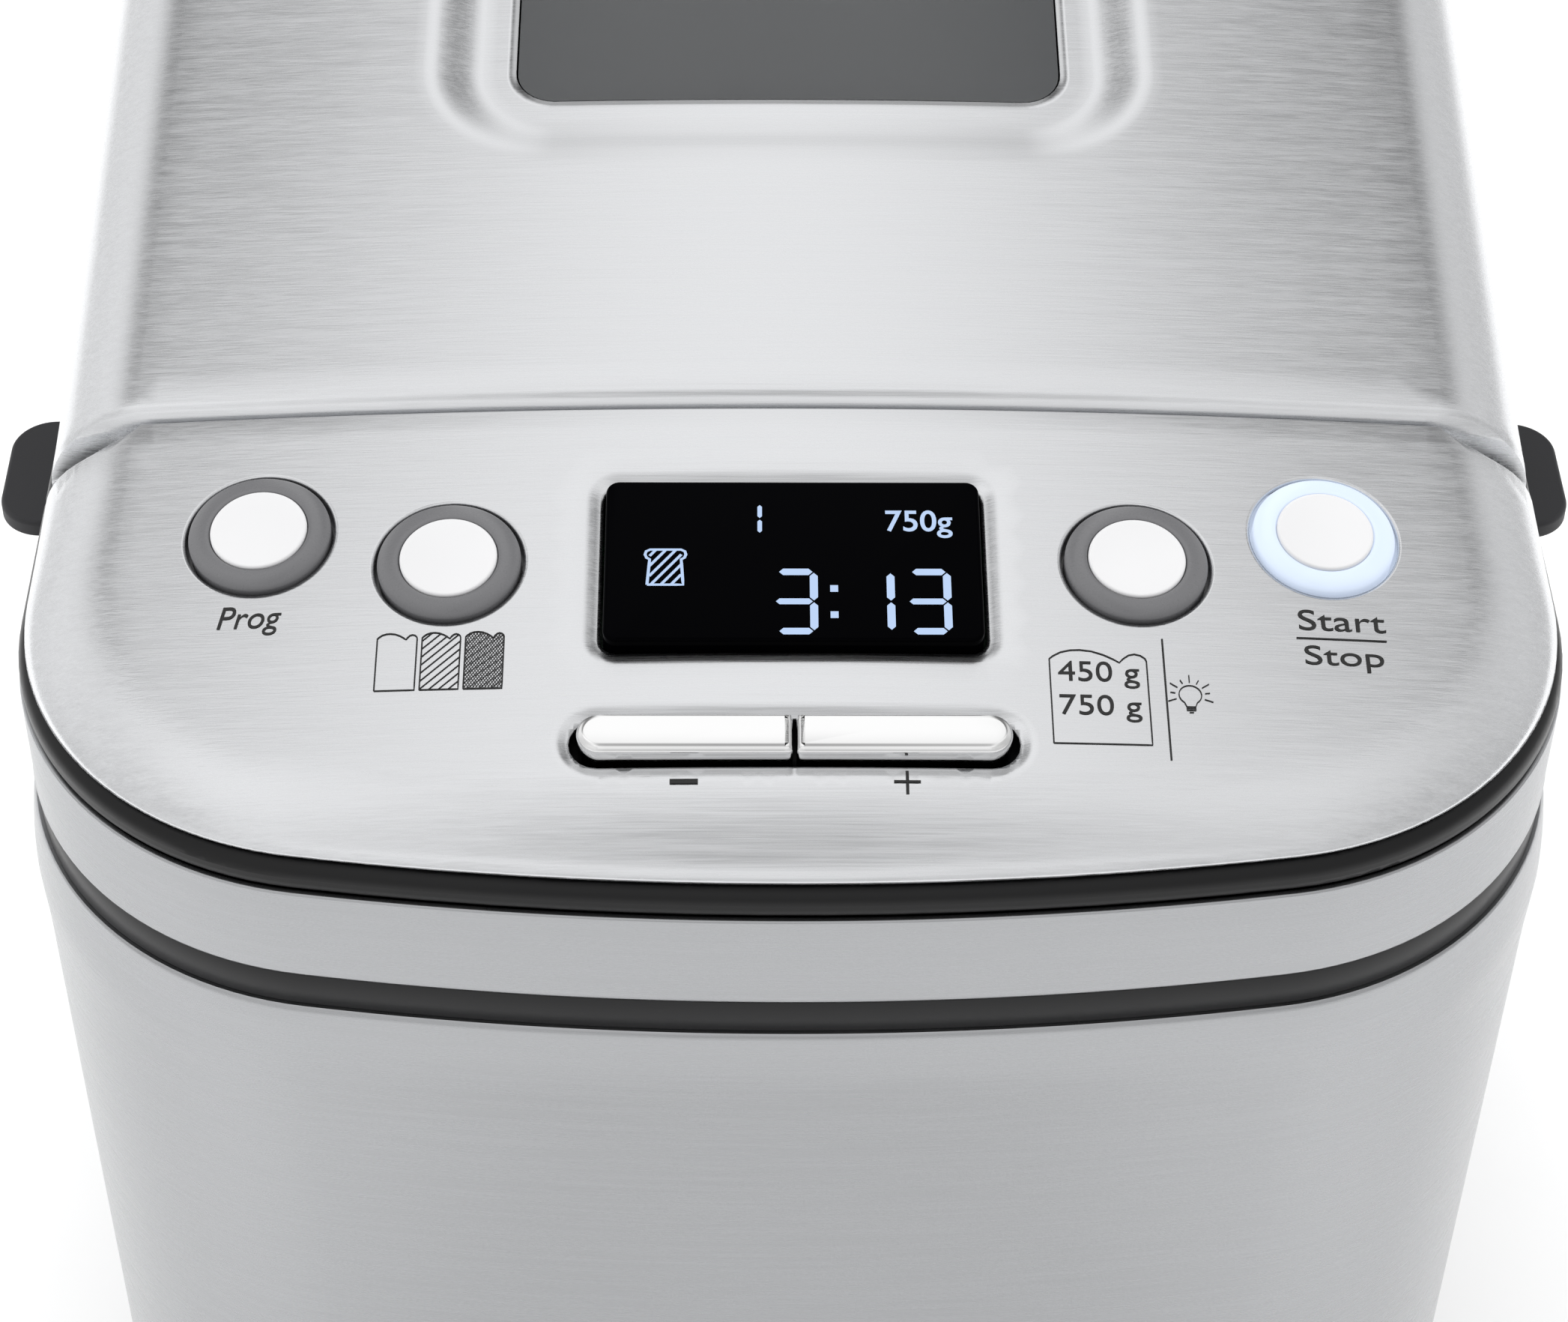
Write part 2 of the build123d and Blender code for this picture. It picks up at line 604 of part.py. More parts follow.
def make_drive_chassis():
    top = CHASSIS_Z + CHASSIS_THICK
    front, back = MOTOR_Y - 27, OVEN_Y + 50
    plate = block(-70, 70, front, back, CHASSIS_Z, top)
    for sx in (-1, 1):
        leg_x = sx * 69
        plate += block(leg_x - 1, leg_x + 1, front, back, BODY_FOOT_Z + 0.1, top)
        foot_x = sx * 62
        plate += block(foot_x - 8, foot_x + 8, front, back, BODY_FOOT_Z + 0.1, BODY_FOOT_Z + 2.1)
    plate -= post(9.0, CHASSIS_Z - 1, top + 1, 0, MOTOR_Y)
    plate -= post(14.3, CHASSIS_Z - 1, top + 1, 0, OVEN_Y)
    for x, y in motor_screw_points() + bearing_screw_points():
        plate -= post(SCREW_HOLE_R, CHASSIS_Z - 1, top + 1, x, y)
    return plate


def make_motor_case():
    """Motor can with its end bosses, open round the rotor."""
    floor = CHASSIS_Z + CHASSIS_THICK
    can = fillet(post(MOTOR_R, floor, floor + 66, 0, MOTOR_Y).edges().sort_by(Axis.Z)[-1], 4)
    can += post(9.0, floor + 66, floor + 71, 0, MOTOR_Y)
    can -= post(MOTOR_R - 7, floor + 6, floor + 58, 0, MOTOR_Y)
    can -= post(SHAFT_R + FIT, floor - 1, floor + 68, 0, MOTOR_Y)
    for x, y in motor_screw_points():
        can -= post(SCREW_HOLE_R, floor - 1, floor + 5.9, x, y)
    return can


def make_motor_rotor():
    floor = CHASSIS_Z + CHASSIS_THICK
    shaft = post(SHAFT_R, PULLEY_LOW - 2, floor + 67, 0, MOTOR_Y)
    return shaft + post(MOTOR_R - 8, floor + 8, floor + 56, 0, MOTOR_Y)


def pulley(r, bore, x, y):
    wheel = post(r, PULLEY_LOW, PULLEY_HIGH, x, y)
    wheel += post(r + 2, PULLEY_LOW, PULLEY_LOW + 1.2, x, y)
    wheel += post(r + 2, PULLEY_HIGH - 1.2, PULLEY_HIGH, x, y)
    return wheel - post(bore, PULLEY_LOW - 1, PULLEY_HIGH + 1, x, y)


def make_motor_pulley():
    return pulley(MOTOR_PULLEY_R, SHAFT_R, 0, MOTOR_Y)


def make_drive_pulley():
    wheel = pulley(DRIVE_PULLEY_R, SHAFT_R, 0, OVEN_Y)
    for i in range(5):
        angle = math.radians(72 * i)
        wheel -= post(9, 0, 60, 25 * math.cos(angle), OVEN_Y + 25 * math.sin(angle))
    return wheel


def belt_face(extra):
    """Outline of an open belt round both pulleys."""
    gap = OVEN_Y - MOTOR_Y
    big, small = DRIVE_PULLEY_R + extra, MOTOR_PULLEY_R + extra
    lean = math.asin((big - small) / gap)
    c, s = math.cos(lean), math.sin(lean)
    big_point = (big * c, OVEN_Y - big * s)
    small_point = (small * c, MOTOR_Y - small * s)
    edges = [
        Line(small_point, big_point),
        ThreePointArc(big_point, (0, OVEN_Y + big), (-big_point[0], big_point[1])),
        Line((-big_point[0], big_point[1]), (-small_point[0], small_point[1])),
        ThreePointArc((-small_point[0], small_point[1]), (0, MOTOR_Y - small), small_point),
    ]
    return make_face(edges)


def make_drive_belt():
    clear = 0.05
    low, high = PULLEY_LOW + 1.8, PULLEY_HIGH - 1.8
    ring = extrude(belt_face(clear + BELT_THICK), high - low) - extrude(belt_face(clear), high - low)
    return Pos(0, 0, low) * ring


def make_drive_bearing():
    top = CHASSIS_Z + CHASSIS_THICK
    housing = post(14, CHASSIS_Z - 3, 63, 0, OVEN_Y)
    housing += post(23, top, top + 3, 0, OVEN_Y)
    for x, y in bearing_screw_points():
        housing -= post(SCREW_HOLE_R, top - 1, top + 4, x, y)
    return housing - post(SHAFT_R + FIT, 0, 80, 0, OVEN_Y)


def make_drive_shaft():
    """Vertical shaft with a disc and two dogs that turn the pan's wing."""
    shaft = post(SHAFT_R, PULLEY_LOW - 2, 65, 0, OVEN_Y)
    shaft += post(16, 64, 66.5, 0, OVEN_Y)
    for sign in (-1, 1):
        x, y = sign * 10, OVEN_Y + sign * 5.9
        shaft += block(x - 3, x + 3, y - 3, y + 3, 66, 73)
    return shaft


# ---- pan ----------------------------------------------------------------------------------------------
def pan_solid(grow, z0, z1):
    """Drafted body of the pan, grown evenly."""
    faces = []
    for z in (z0, z1):
        inset = PAN_DRAFT * (PAN_RIM - z) / (PAN_RIM - PAN_FLOOR) - grow
        faces.append(Pos(0, OVEN_Y, z) * RectangleRounded(
            2 * (PAN_HALF[0] - inset), 2 * (PAN_HALF[1] - inset), PAN_R - inset))
    return loft(faces, ruled=True)


def make_bread_pan():
    pan = pan_solid(0, PAN_FLOOR, PAN_RIM)
    pan = fillet(pan.faces().sort_by(Axis.Z)[0].edges(), 6)
    hollow = pan_solid(-PAN_WALL, PAN_FLOOR + PAN_WALL, PAN_RIM + 1)
    pan -= fillet(hollow.faces().sort_by(Axis.Z)[0].edges(), 5)
    rim = rounded_block(PAN_HALF[0] + 3, PAN_HALF[1] + 3, PAN_R + 3, PAN_RIM - 3, PAN_RIM, 0, OVEN_Y)
    rim -= rounded_block(PAN_HALF[0] - 1, PAN_HALF[1] - 1, PAN_R - 1, PAN_RIM - 4, PAN_RIM + 1, 0, OVEN_Y)
    rim = fillet(rim.faces().sort_by(Axis.Z)[-1].outer_wire().edges(), 1.2)
    pan += rim
    for sx in (-1, 1):
        ear_x = sx * (PAN_HALF[0] + 2.2)
        ear = block(ear_x - 1, ear_x + 1, OVEN_Y - 6, OVEN_Y + 6, PAN_RIM - 2, PAN_RIM + 5)
        ear = fillet(ear.edges().filter_by(Axis.X).sort_by(Axis.Z)[-2:], 2.5)
        pan += ear
        pan -= rod_x(BAIL_ROD_R + FIT, ear_x - 2, ear_x + 2, OVEN_Y, BAIL_Z)
    pan -= rod_x(BAIL_ROD_R + 0.4, -PAN_HALF[0] - 1.2, PAN_HALF[0] + 1.2, OVEN_Y, BAIL_Z)
    return pan - post(9.0, PAN_FLOOR - 1, PAN_FLOOR + 8, 0, OVEN_Y)


def make_pan_base():
    ring = post(33.4, 62, PAN_FLOOR, 0, OVEN_Y) - post(30.4, 61, PAN_FLOOR + 1, 0, OVEN_Y)
    plate = post(33.4, PAN_FLOOR - 2, PAN_FLOOR, 0, OVEN_Y) - post(9.0, 60, 90, 0, OVEN_Y)
    return ring + plate


def make_pan_bush():
    bush = post(8.95, 78, 91, 0, OVEN_Y) + post(12, 80, PAN_FLOOR - 2.05, 0, OVEN_Y)
    return bush - post(SHAFT_R + FIT, 70, 95, 0, OVEN_Y)


def make_pan_shaft():
    """Shaft through the pan floor, flatted top, with the driven wing at its foot."""
    shaft = post(SHAFT_R, 68, 110, 0, OVEN_Y) + post(6.5, 68, 76, 0, OVEN_Y)
    shaft += block(-14, 14, OVEN_Y - 2.5, OVEN_Y + 2.5, 68, 73)
    return shaft - block(SHAFT_R - 1.0, SHAFT_R + 1, OVEN_Y - 5, OVEN_Y + 5, 92.5, 112)


def make_kneading_paddle():
    """Hub on the flatted shaft with one curved blade."""
    hub = fillet(post(8, 93, 112, 0, OVEN_Y).edges().sort_by(Axis.Z)[-1], 2.0)
    blade = ThreePointArc((2, 0), (20, 7), (38, 2))
    lower = ThreePointArc((38, 2), (36, -2), (32, -1.5))
    inner = ThreePointArc((32, -1.5), (17, 2), (2, -5))
    outline = make_face([blade, lower, inner, Line((2, -5), (2, 0))])
    wing = Pos(0, OVEN_Y, 93) * extrude(outline, 26)
    slope = Pos(34, OVEN_Y, 124) * Rot(0, 38, 0) * Box(60, 40, 22)
    wing -= slope
    paddle = hub + wing
    bore = post(SHAFT_R + 0.08, 80, 120, 0, OVEN_Y)
    bore -= block(SHAFT_R - 0.92, SHAFT_R + 2, OVEN_Y - 6, OVEN_Y + 6, 80, 120)
    return paddle - bore


def make_pan_bail():
    """Wire handle folded forward over the pan's rim, its ends turned into the ears."""
    front = OVEN_Y - BAIL_REACH
    path = FilletPolyline(
        (PAN_HALF[0] + 1.6, OVEN_Y, BAIL_Z), (BAIL_X, OVEN_Y, BAIL_Z), (BAIL_X, front, BAIL_Z),
        (-BAIL_X, front, BAIL_Z), (-BAIL_X, OVEN_Y, BAIL_Z), (-PAN_HALF[0] - 1.6, OVEN_Y, BAIL_Z),
        radius=[3.2, 16, 16, 3.2])
    return sweep(Plane(path @ 0, z_dir=path % 0) * Circle(BAIL_ROD_R), path)


# ---- lid ----------------------------------------------------------------------------------------------
def window_block(grow, z0, z1):
    middle = (WINDOW_FRONT_Y + WINDOW_REAR_Y) / 2
    half_y = (WINDOW_REAR_Y - WINDOW_FRONT_Y) / 2
    return rounded_block(WINDOW_HALF_X + grow, half_y + grow, WINDOW_R + grow, z0, z1, 0, middle)


def pressed_in(dome_solid, grow):
    """A dome whose panel round the window is pressed down."""
    panel = window_block(grow, TRIM_Z, TRIM_Z + 90)
    return dome_solid - (panel - Pos(0, 0, -RECESS_DEEP) * dome_solid)


def make_lid_skin(outer, inner):
    edge = SEAM_Y + SEAM_HALF_GAP
    skin = pressed_in(outer, RECESS_GROW) - pressed_in(inner, RECESS_GROW + SKIN)
    skin &= rear_half(edge)
    skin += outer & block(-200, 200, edge, edge + SKIN, -10, 400)
    skin &= block(-200, 200, -400, 400, TRIM_Z + SKIN_FOOT, 400)
    return skin - window_block(0.3, TRIM_Z, TRIM_Z + 90)


def make_lid_trim():
    edge = SEAM_Y + SEAM_HALF_GAP
    trim = (trim_ring() & rear_half(edge)) + seam_rail(edge, edge + 5)
    for x, y in lid_screw_points():
        trim -= post(SCREW_HOLE_R, TRIM_Z - 2, TRIM_Z + 2, x, y)
    return trim


def make_lid_liner():
    low, high = TRIM_Z - 2.0, TRIM_Z - 1.05
    plate = plan_block(RIB_IN - 0.3, low, high) & rear_half(SEAM_Y + SEAM_HALF_GAP + 5.3)
    tray = window_block(9, high - 0.1, high + 5) - window_block(7.6, high - 1, high + 6)
    plate = plate + tray - window_block(4, low - 1, high + 1)
    for x, y in lid_screw_points():
        plate -= post(1.6, low - 1, high + 1, x, y)
    return plate


def lid_screw_points():
    side = HALF_WIDTH - 12.3
    return [(sx * side, y) for sx in (-1, 1) for y in (-70, 10, 90)]


def make_lid_screws():
    screws = []
    for x, y in lid_screw_points():
        screws.append(Pos(x, y, TRIM_Z - 2.02) * Rot(180, 0, 0) * m3_screw(4.0))
    return screws


def make_window_glass(glass_top, glass_under):
    return (glass_top - glass_under) & window_block(0.0, TRIM_Z, TRIM_Z + 90)


def make_inner_window():
    return window_block(7.0, TRIM_Z - 1.0, TRIM_Z + 2.2)


def make_window_gasket():
    low = TRIM_Z + 2.2
    return window_block(7.4, low + 0.05, low + 2.2) - window_block(4.0, low - 1, low + 4)


def make_hinge_knuckles():
    knuckles = []
    for sx in (-1, 1):
        x = sx * HINGE_X
        arm = block(x - 8.5, x + 8.5, REAR_Y - 0.2, HINGE_Y, TRIM_Z - 2.6, TRIM_Z + 1.9)
        arm += rod_x(5.4, x - 8.5, x + 8.5, HINGE_Y, HINGE_Z)
        arm -= rod_x(PIN_R + FIT, x - 10, x + 10, HINGE_Y, HINGE_Z)
        arm -= plan_block(0.02, TRIM_Z - 20, TRIM_Z + 20)
        knuckles.append(solid(arm))
    return knuckles


def make_hinge_brackets():
    brackets = []
    for sx in (-1, 1):
        x = sx * HINGE_X
        wall = REAR_Y + 2
        bracket = block(x - 15, x + 15, wall - 6, HINGE_Y + 4, TRIM_Z - 52, TRIM_Z - 11)
        for ex in (-11.5, 11.5):
            ear_block = block(x + ex - 2.5, x + ex + 2.5, REAR_Y + 3.4, HINGE_Y + 6, TRIM_Z - 22, HINGE_Z)
            ear_round = rod_x(EAR_R, x + ex - 2.5, x + ex + 2.5, HINGE_Y, HINGE_Z)
            bracket += ear_block & block(-200, 200, 0, HINGE_Y + EAR_R, 0, 400)
            bracket += ear_round
        bracket -= rod_x(PIN_R + 0.02, x - 20, x + 20, HINGE_Y, HINGE_Z)
        bracket -= body_block(0.05)
        bracket -= plan_block(UPPER_BAND_OUT + 0.1, TRIM_Z + LOWER_BAND_LOW - 0.01, TRIM_Z + 20)
        brackets.append(solid(bracket))
    return brackets


def make_hinge_pins():
    pins = []
    for sx in (-1, 1):
        x = sx * HINGE_X
        pins.append(solid(rod_x(PIN_R, x - 14.5, x + 14.5, HINGE_Y, HINGE_Z)))
    return pins


# ---- all pieces ---------------------------------------------------------------------------------------
def all_parts():
    outer = dome(SKIN_INSET, 0.0, SHOULDER_R)
    inner = dome(SKIN_INSET + SKIN, SKIN, SHOULDER_R - SKIN)
    glass_top = dome(SKIN_INSET, RECESS_DEEP + 0.15, SHOULDER_R)
    glass_under = dome(SKIN_INSET, RECESS_DEEP + 3.15, SHOULDER_R)
    parts = {
        "body_shell": make_body_shell(),
        "base_plate": make_base_plate(),
        "rubber_feet": make_rubber_feet(),
        "base_screws": make_base_screws(),
        "lower_band": make_lower_band(),
        "upper_band": make_upper_band(),
        "front_trim": make_front_trim(),
        "side_grip_left": make_side_grip(-1),
        "side_grip_right": make_side_grip(1),
        "cord_gland": make_cord_gland(),
        "control_cover": make_control_cover(outer, inner),
        "display_lens": make_display_lens(),
        "lcd_module": make_lcd_module(),
        "button_carrier": make_button_carrier(),
        "control_board": make_control_board(),
        "tact_switches": make_tact_switches(),
        "power_board": make_power_board(),
        "m3_screws": make_m3_screws(),
        "key_minus": make_key(-1),
        "key_plus": make_key(1),
        "chamber_liner": make_chamber_liner(),
        "top_deck": make_top_deck(),
        "chamber_gasket": make_chamber_gasket(),
        "heater_element": make_heater_element(),
        "temperature_sensor": make_temperature_sensor(),
        "chamber_lamp": make_chamber_lamp(),
        "pan_seat": make_pan_seat(),
        "drive_chassis": make_drive_chassis(),
        "motor_case": make_motor_case(),
        "motor_rotor": make_motor_rotor(),
        "motor_pulley": make_motor_pulley(),
        "drive_belt": make_drive_belt(),
        "drive_bearing": make_drive_bearing(),
        "drive_pulley": make_drive_pulley(),
        "drive_shaft": make_drive_shaft(),
        "bread_pan": make_bread_pan(),
        "pan_base": make_pan_base(),
        "pan_bush": make_pan_bush(),
        "pan_shaft": make_pan_shaft(),
        "kneading_paddle": make_kneading_paddle(),
        "pan_bail": make_pan_bail(),
        "lid_skin": make_lid_skin(outer, inner),
        "lid_trim": make_lid_trim(),
        "lid_liner": make_lid_liner(),
        "lid_screws": make_lid_screws(),
        "window_glass": make_window_glass(glass_top, glass_under),
        "inner_window": make_inner_window(),
        "window_gasket": make_window_gasket(),
        "hinge_knuckles": make_hinge_knuckles(),
        "hinge_brackets": make_hinge_brackets(),
        "hinge_pins": make_hinge_pins(),
    }
    for name, (x, y) in ROUND_BUTTONS.items():
        parts[name + "_button_ring"] = make_button_ring(x, y)
        parts[name + "_button_cap"] = make_button_cap(x, y)
    return parts


def write_parts(parts):
    os.makedirs("parts", exist_ok=True)
    for name, shape in parts.items():
        whole = Compound(children=shape) if isinstance(shape, list) else solid(shape)
        export_step(whole, f"parts/{name}.step")


write_parts(all_parts())
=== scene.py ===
import bmesh
import bpy
import math
from contextlib import contextmanager
from mathutils import Matrix, Vector
from mathutils.geometry import delaunay_2d_cdt


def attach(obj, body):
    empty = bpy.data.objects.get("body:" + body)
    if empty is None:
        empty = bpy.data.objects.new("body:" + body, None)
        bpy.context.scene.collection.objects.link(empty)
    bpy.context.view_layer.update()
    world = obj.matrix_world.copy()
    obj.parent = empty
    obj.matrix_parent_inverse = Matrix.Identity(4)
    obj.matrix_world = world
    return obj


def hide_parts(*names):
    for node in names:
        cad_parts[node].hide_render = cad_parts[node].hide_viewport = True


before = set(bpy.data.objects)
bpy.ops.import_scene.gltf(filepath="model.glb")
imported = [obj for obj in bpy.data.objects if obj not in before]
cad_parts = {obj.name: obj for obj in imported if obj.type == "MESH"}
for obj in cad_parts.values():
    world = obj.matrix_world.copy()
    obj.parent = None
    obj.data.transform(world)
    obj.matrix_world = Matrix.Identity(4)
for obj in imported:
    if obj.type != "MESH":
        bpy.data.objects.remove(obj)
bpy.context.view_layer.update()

# Bread machine: brushed steel skins, black moulded trim, a black display and four buttons, one lit.
# Lengths in the mesh code are millimetres; MM turns them into metres when a mesh is made.
MM = 0.001

# ---- sizes of the design ------------
HALF_WIDTH = 110.0
FRONT_Y = -174.0
REAR_Y = 164.0
TRIM_Z = 240.0
FRONT_CORNER_R = 50.0
FRONT_CORNER_SETBACK = 54.5
REAR_CORNER_R = 40.0
SEAM_Y = -94.0
SEAM_HALF_GAP = 0.6
SKIN = 0.8
SLOPE = math.tan(math.radians(9.6))
CROWN = 0.00037
PANEL_Y = -131.5
PANEL_RISE = 13.9
LEVEL_START_Y = -2.0
LEVEL_END_Y = 58.0
SHOULDER_R = 14.0
SKIN_INSET = 1.2
SKIN_FOOT = TRIM_Z + 3.1
BODY_FOOT_Z = 9.0
BODY_TOP_Z = 215.0
BODY_OUT_FOOT = -0.75
BODY_WAIST = (192.0, 1.5)  # top of the straight taper: height and offset
LOWER_BAND_TOP = TRIM_Z - 18.95
UPPER_BAND_LOW = TRIM_Z - 18.9
UPPER_BAND_HIGH = TRIM_Z - 2.7
VENT_Z = 104.0
GLAND_X = 70.0
GLAND_Z = 38.0

DISPLAY_HALF = (26.3, 14.1)
DISPLAY_Y = -123.4
DISPLAY_PROUD = 1.5
ROUND_BUTTONS = {
    "prog": (-75.1, -116.3),
    "option": (-48.1, -122.2),
    "loaf_size": (48.1, -122.2),
    "start": (75.1, -116.3),
}
BUTTON_HOLE_R = 10.6
RING_R = 10.1
CAP_R = 6.85
KEY_POCKET_HALF = (30.6, 4.0)
KEY_POCKET_Y = -152.9
KEY_Y = -153.1
KEY_SIZE = (29.2, 6.3)
KEY_PROUD = 2.6
KEY_GAP = 0.5

WINDOW_HALF = (42.0, 58.65)
WINDOW_Y = 27.35
WINDOW_R = 6.0


# ---- plan outline ------------
def bow_radius():
    corner_x = HALF_WIDTH - FRONT_CORNER_R
    slack = FRONT_CORNER_SETBACK - FRONT_CORNER_R
    return (corner_x**2 + FRONT_CORNER_SETBACK**2 - FRONT_CORNER_R**2) / (2 * slack)


BOW_R = bow_radius()
BOW_CENTRE_Y = FRONT_Y + BOW_R
CORNER_X = HALF_WIDTH - FRONT_CORNER_R
CORNER_Y = FRONT_Y + FRONT_CORNER_SETBACK
REAR_X = HALF_WIDTH - REAR_CORNER_R
REAR_CORNER_Y = REAR_Y - REAR_CORNER_R
BOW_ANGLE = math.atan2(CORNER_X, BOW_CENTRE_Y - CORNER_Y)


def arc(cx, cy, r, start, end, count):
    """Points with outward directions along an arc, without its last point."""
    for k in range(count):
        a = start + (end - start) * k / count
        yield (cx + r * math.cos(a), cy + r * math.sin(a), math.cos(a), math.sin(a))


def straight(x0, y0, x1, y1, nx, ny, count):
    for k in range(count):
        t = k / count
        yield (x0 + (x1 - x0) * t, y0 + (y1 - y0) * t, nx, ny)


def make_outline(fine):
    """The trim's outer line, anticlockwise from the middle of the back, as x, y and the outward direction."""
    quarter = math.pi / 2
    points = list(arc(0, BOW_CENTRE_Y, BOW_R, -quarter, -quarter + BOW_ANGLE, 10 * fine))
    points += arc(CORNER_X, CORNER_Y, FRONT_CORNER_R, -quarter + BOW_ANGLE, 0, 14 * fine)
    points += straight(HALF_WIDTH, CORNER_Y, HALF_WIDTH, REAR_CORNER_Y, 1, 0, 24 * fine)
    points += arc(REAR_X, REAR_CORNER_Y, REAR_CORNER_R, 0, quarter, 12 * fine)
    points += straight(REAR_X, REAR_Y, 0, REAR_Y, 0, 1, 7 * fine)
    mirrored = [(-x, y, -nx, ny) for x, y, nx, ny in reversed(points[1:])]
    return [(0, REAR_Y, 0, 1)] + mirrored + points


OUTLINE = make_outline(2)


def inset_of(x, y):
    """How far inside the trim's outer line a point is."""
    ax = abs(x)
    if y < CORNER_Y:
        if math.atan2(ax, BOW_CENTRE_Y - y) < BOW_ANGLE:
            return min(BOW_R - math.hypot(x, y - BOW_CENTRE_Y), HALF_WIDTH - ax)
        if ax > CORNER_X:
            return FRONT_CORNER_R - math.hypot(ax - CORNER_X, y - CORNER_Y)
    if ax > REAR_X and y > REAR_CORNER_Y:
        return REAR_CORNER_R - math.hypot(ax - REAR_X, y - REAR_CORNER_Y)
    return min(HALF_WIDTH - ax, REAR_Y - y)


# ---- top surface ------------
def top_height(x, y):
    rise = SLOPE * (min(y, LEVEL_START_Y) - PANEL_Y)
    blend = min(max(y - LEVEL_START_Y, 0.0), LEVEL_END_Y - LEVEL_START_Y)
    rise += SLOPE * (blend - blend**2 / (2 * (LEVEL_END_Y - LEVEL_START_Y)))
    return TRIM_Z + PANEL_RISE + rise - CROWN * x**2


def round_over(distance, r):
    """How far a rounded edge of radius r has dropped at a distance in from its side."""
    if distance >= r:
        return 0.0
    return r - math.sqrt(max(r * r - (r - max(distance, 0.0))**2, 0.0))


def smooth(t):
    t = min(max(t, 0.0), 1.0)
    return t * t * (3 - 2 * t)


def box_distance(x, y, half_x, half_y, r):
    """Signed distance from a rounded rectangle, negative inside."""
    qx, qy = abs(x) - half_x + r, abs(y) - half_y + r
    return math.hypot(max(qx, 0), max(qy, 0)) + min(max(qx, qy), 0) - r


RECESS_STRIP = 5.0         # flat steel strip round the window
RECESS_SHOULDER = 9.5      # soft pressed shoulder outside it
RECESS_DEEP = 1.8


def window_recess(x, y):
    """The lid is pressed in round the window, with a soft shoulder."""
    d = box_distance(x, y - WINDOW_Y, *WINDOW_HALF, WINDOW_R)
    return RECESS_DEEP * (1 - smooth((d - RECESS_STRIP) / RECESS_SHOULDER))


def dome_z(x, y):
    """Crowned top with a rolled shoulder that comes upright at the foot, flatter where the skin is shallow."""
    top = top_height(x, y)
    t = min(max((inset_of(x, y) - SKIN_INSET) / SHOULDER_R, 0.0), 1.0)
    roll = min(SHOULDER_R, top - SKIN_FOOT)
    return top - roll * (1 - math.sqrt(1 - (1 - t)**2))


COVER_EDGE = SEAM_Y - SEAM_HALF_GAP
LID_EDGE = SEAM_Y + SEAM_HALF_GAP
COVER_LIP_R = 0.6
LID_LIP_R = 2.2


def cover_z(x, y):
    """Control cover: rolled rear edge and a soft dish round the display and the keys."""
    z = dome_z(x, y) - round_over(COVER_EDGE - y, COVER_LIP_R)
    d = box_distance(x, y - DISPLAY_Y, DISPLAY_HALF[0] + 0.4, DISPLAY_HALF[1] + 0.4, 2.2)
    z -= 0.55 * (1 - smooth(d / 2.6))
    d = box_distance(x, y - KEY_POCKET_Y, *KEY_POCKET_HALF, KEY_POCKET_HALF[1] - 0.01)
    return z - 0.45 * (1 - smooth(d / 1.8))


def lid_z(x, y):
    return dome_z(x, y) - round_over(y - LID_EDGE, LID_LIP_R) - window_recess(x, y)


def cover_matrix(x, y):
    """Local frame of the cover at x, y: X along the machine's width, Z outward."""
    z_axis = Vector((2 * CROWN * x, -SLOPE, 1)).normalized()
    x_axis = Vector((1, 0, -2 * CROWN * x)).normalized()
    y_axis = z_axis.cross(x_axis)
    turn = Matrix((x_axis, y_axis, z_axis)).transposed().to_4x4()
    return Matrix.Translation((x, y, top_height(x, y))) @ turn


# ---- materials ------------
def hex_colour(code):
    """sRGB hex value to the linear colour that a shader takes."""
    parts = [int(code[i:i + 2], 16) / 255 for i in (0, 2, 4)]
    linear = [c / 12.92 if c <= 0.04045 else ((c + 0.055) / 1.055)**2.4 for c in parts]
    return (*linear, 1.0)


def add(tree, kind, at=None, **props):
    """A node with its properties, its socket values, and links from other nodes' outputs."""
    node = tree.nodes.new(kind)
    for key, value in props.items():
        setattr(node, key, value)
    for socket, value in (at or {}).items():
        if isinstance(value, bpy.types.NodeSocket):
            tree.links.new(value, node.inputs[socket])
        else:
            node.inputs[socket].default_value = value
    return node


def new_material(name):
    mat = bpy.data.materials.new(name)
    mat.use_nodes = True
    mat.node_tree.nodes.clear()
    return mat, mat.node_tree


def close_material(mat, tree, shader):
    add(tree, "ShaderNodeOutputMaterial", {"Surface": shader.outputs[0]})
    return mat


def calc(tree, operation, a, b):
    return add(tree, "ShaderNodeMath", {0: a, 1: b}, operation=operation).outputs[0]


def ramp(tree, value, start, end, low, high, soft=False):
    """A value carried from one range to another, eased at both ends if soft."""
    ranges = {"Value": value, "From Min": start, "From Max": end, "To Min": low, "To Max": high}
    ease = "SMOOTHSTEP" if soft else "LINEAR"
    return add(tree, "ShaderNodeMapRange", ranges, interpolation_type=ease).outputs[0]


def cloudy(tree, size, detail):
    """Noise from 0 to 1 whose spots are about this many millimetres across."""
    where = add(tree, "ShaderNodeTexCoord").outputs["Object"]
    settings = {"Vector": where, "Scale": 1 / (size * MM), "Detail": detail}
    return add(tree, "ShaderNodeTexNoise", settings).outputs[0]


def stretched(tree, where, sizes, detail, rough):
    """Noise drawn out to a different length in millimetres along each axis."""
    scaled = add(tree, "ShaderNodeMapping", {"Vector": where, "Scale": [1 / (size * MM) for size in sizes]})
    settings = {"Vector": scaled.outputs[0], "Scale": 1.0, "Detail": detail, "Roughness": rough}
    return add(tree, "ShaderNodeTexNoise", settings).outputs[0]


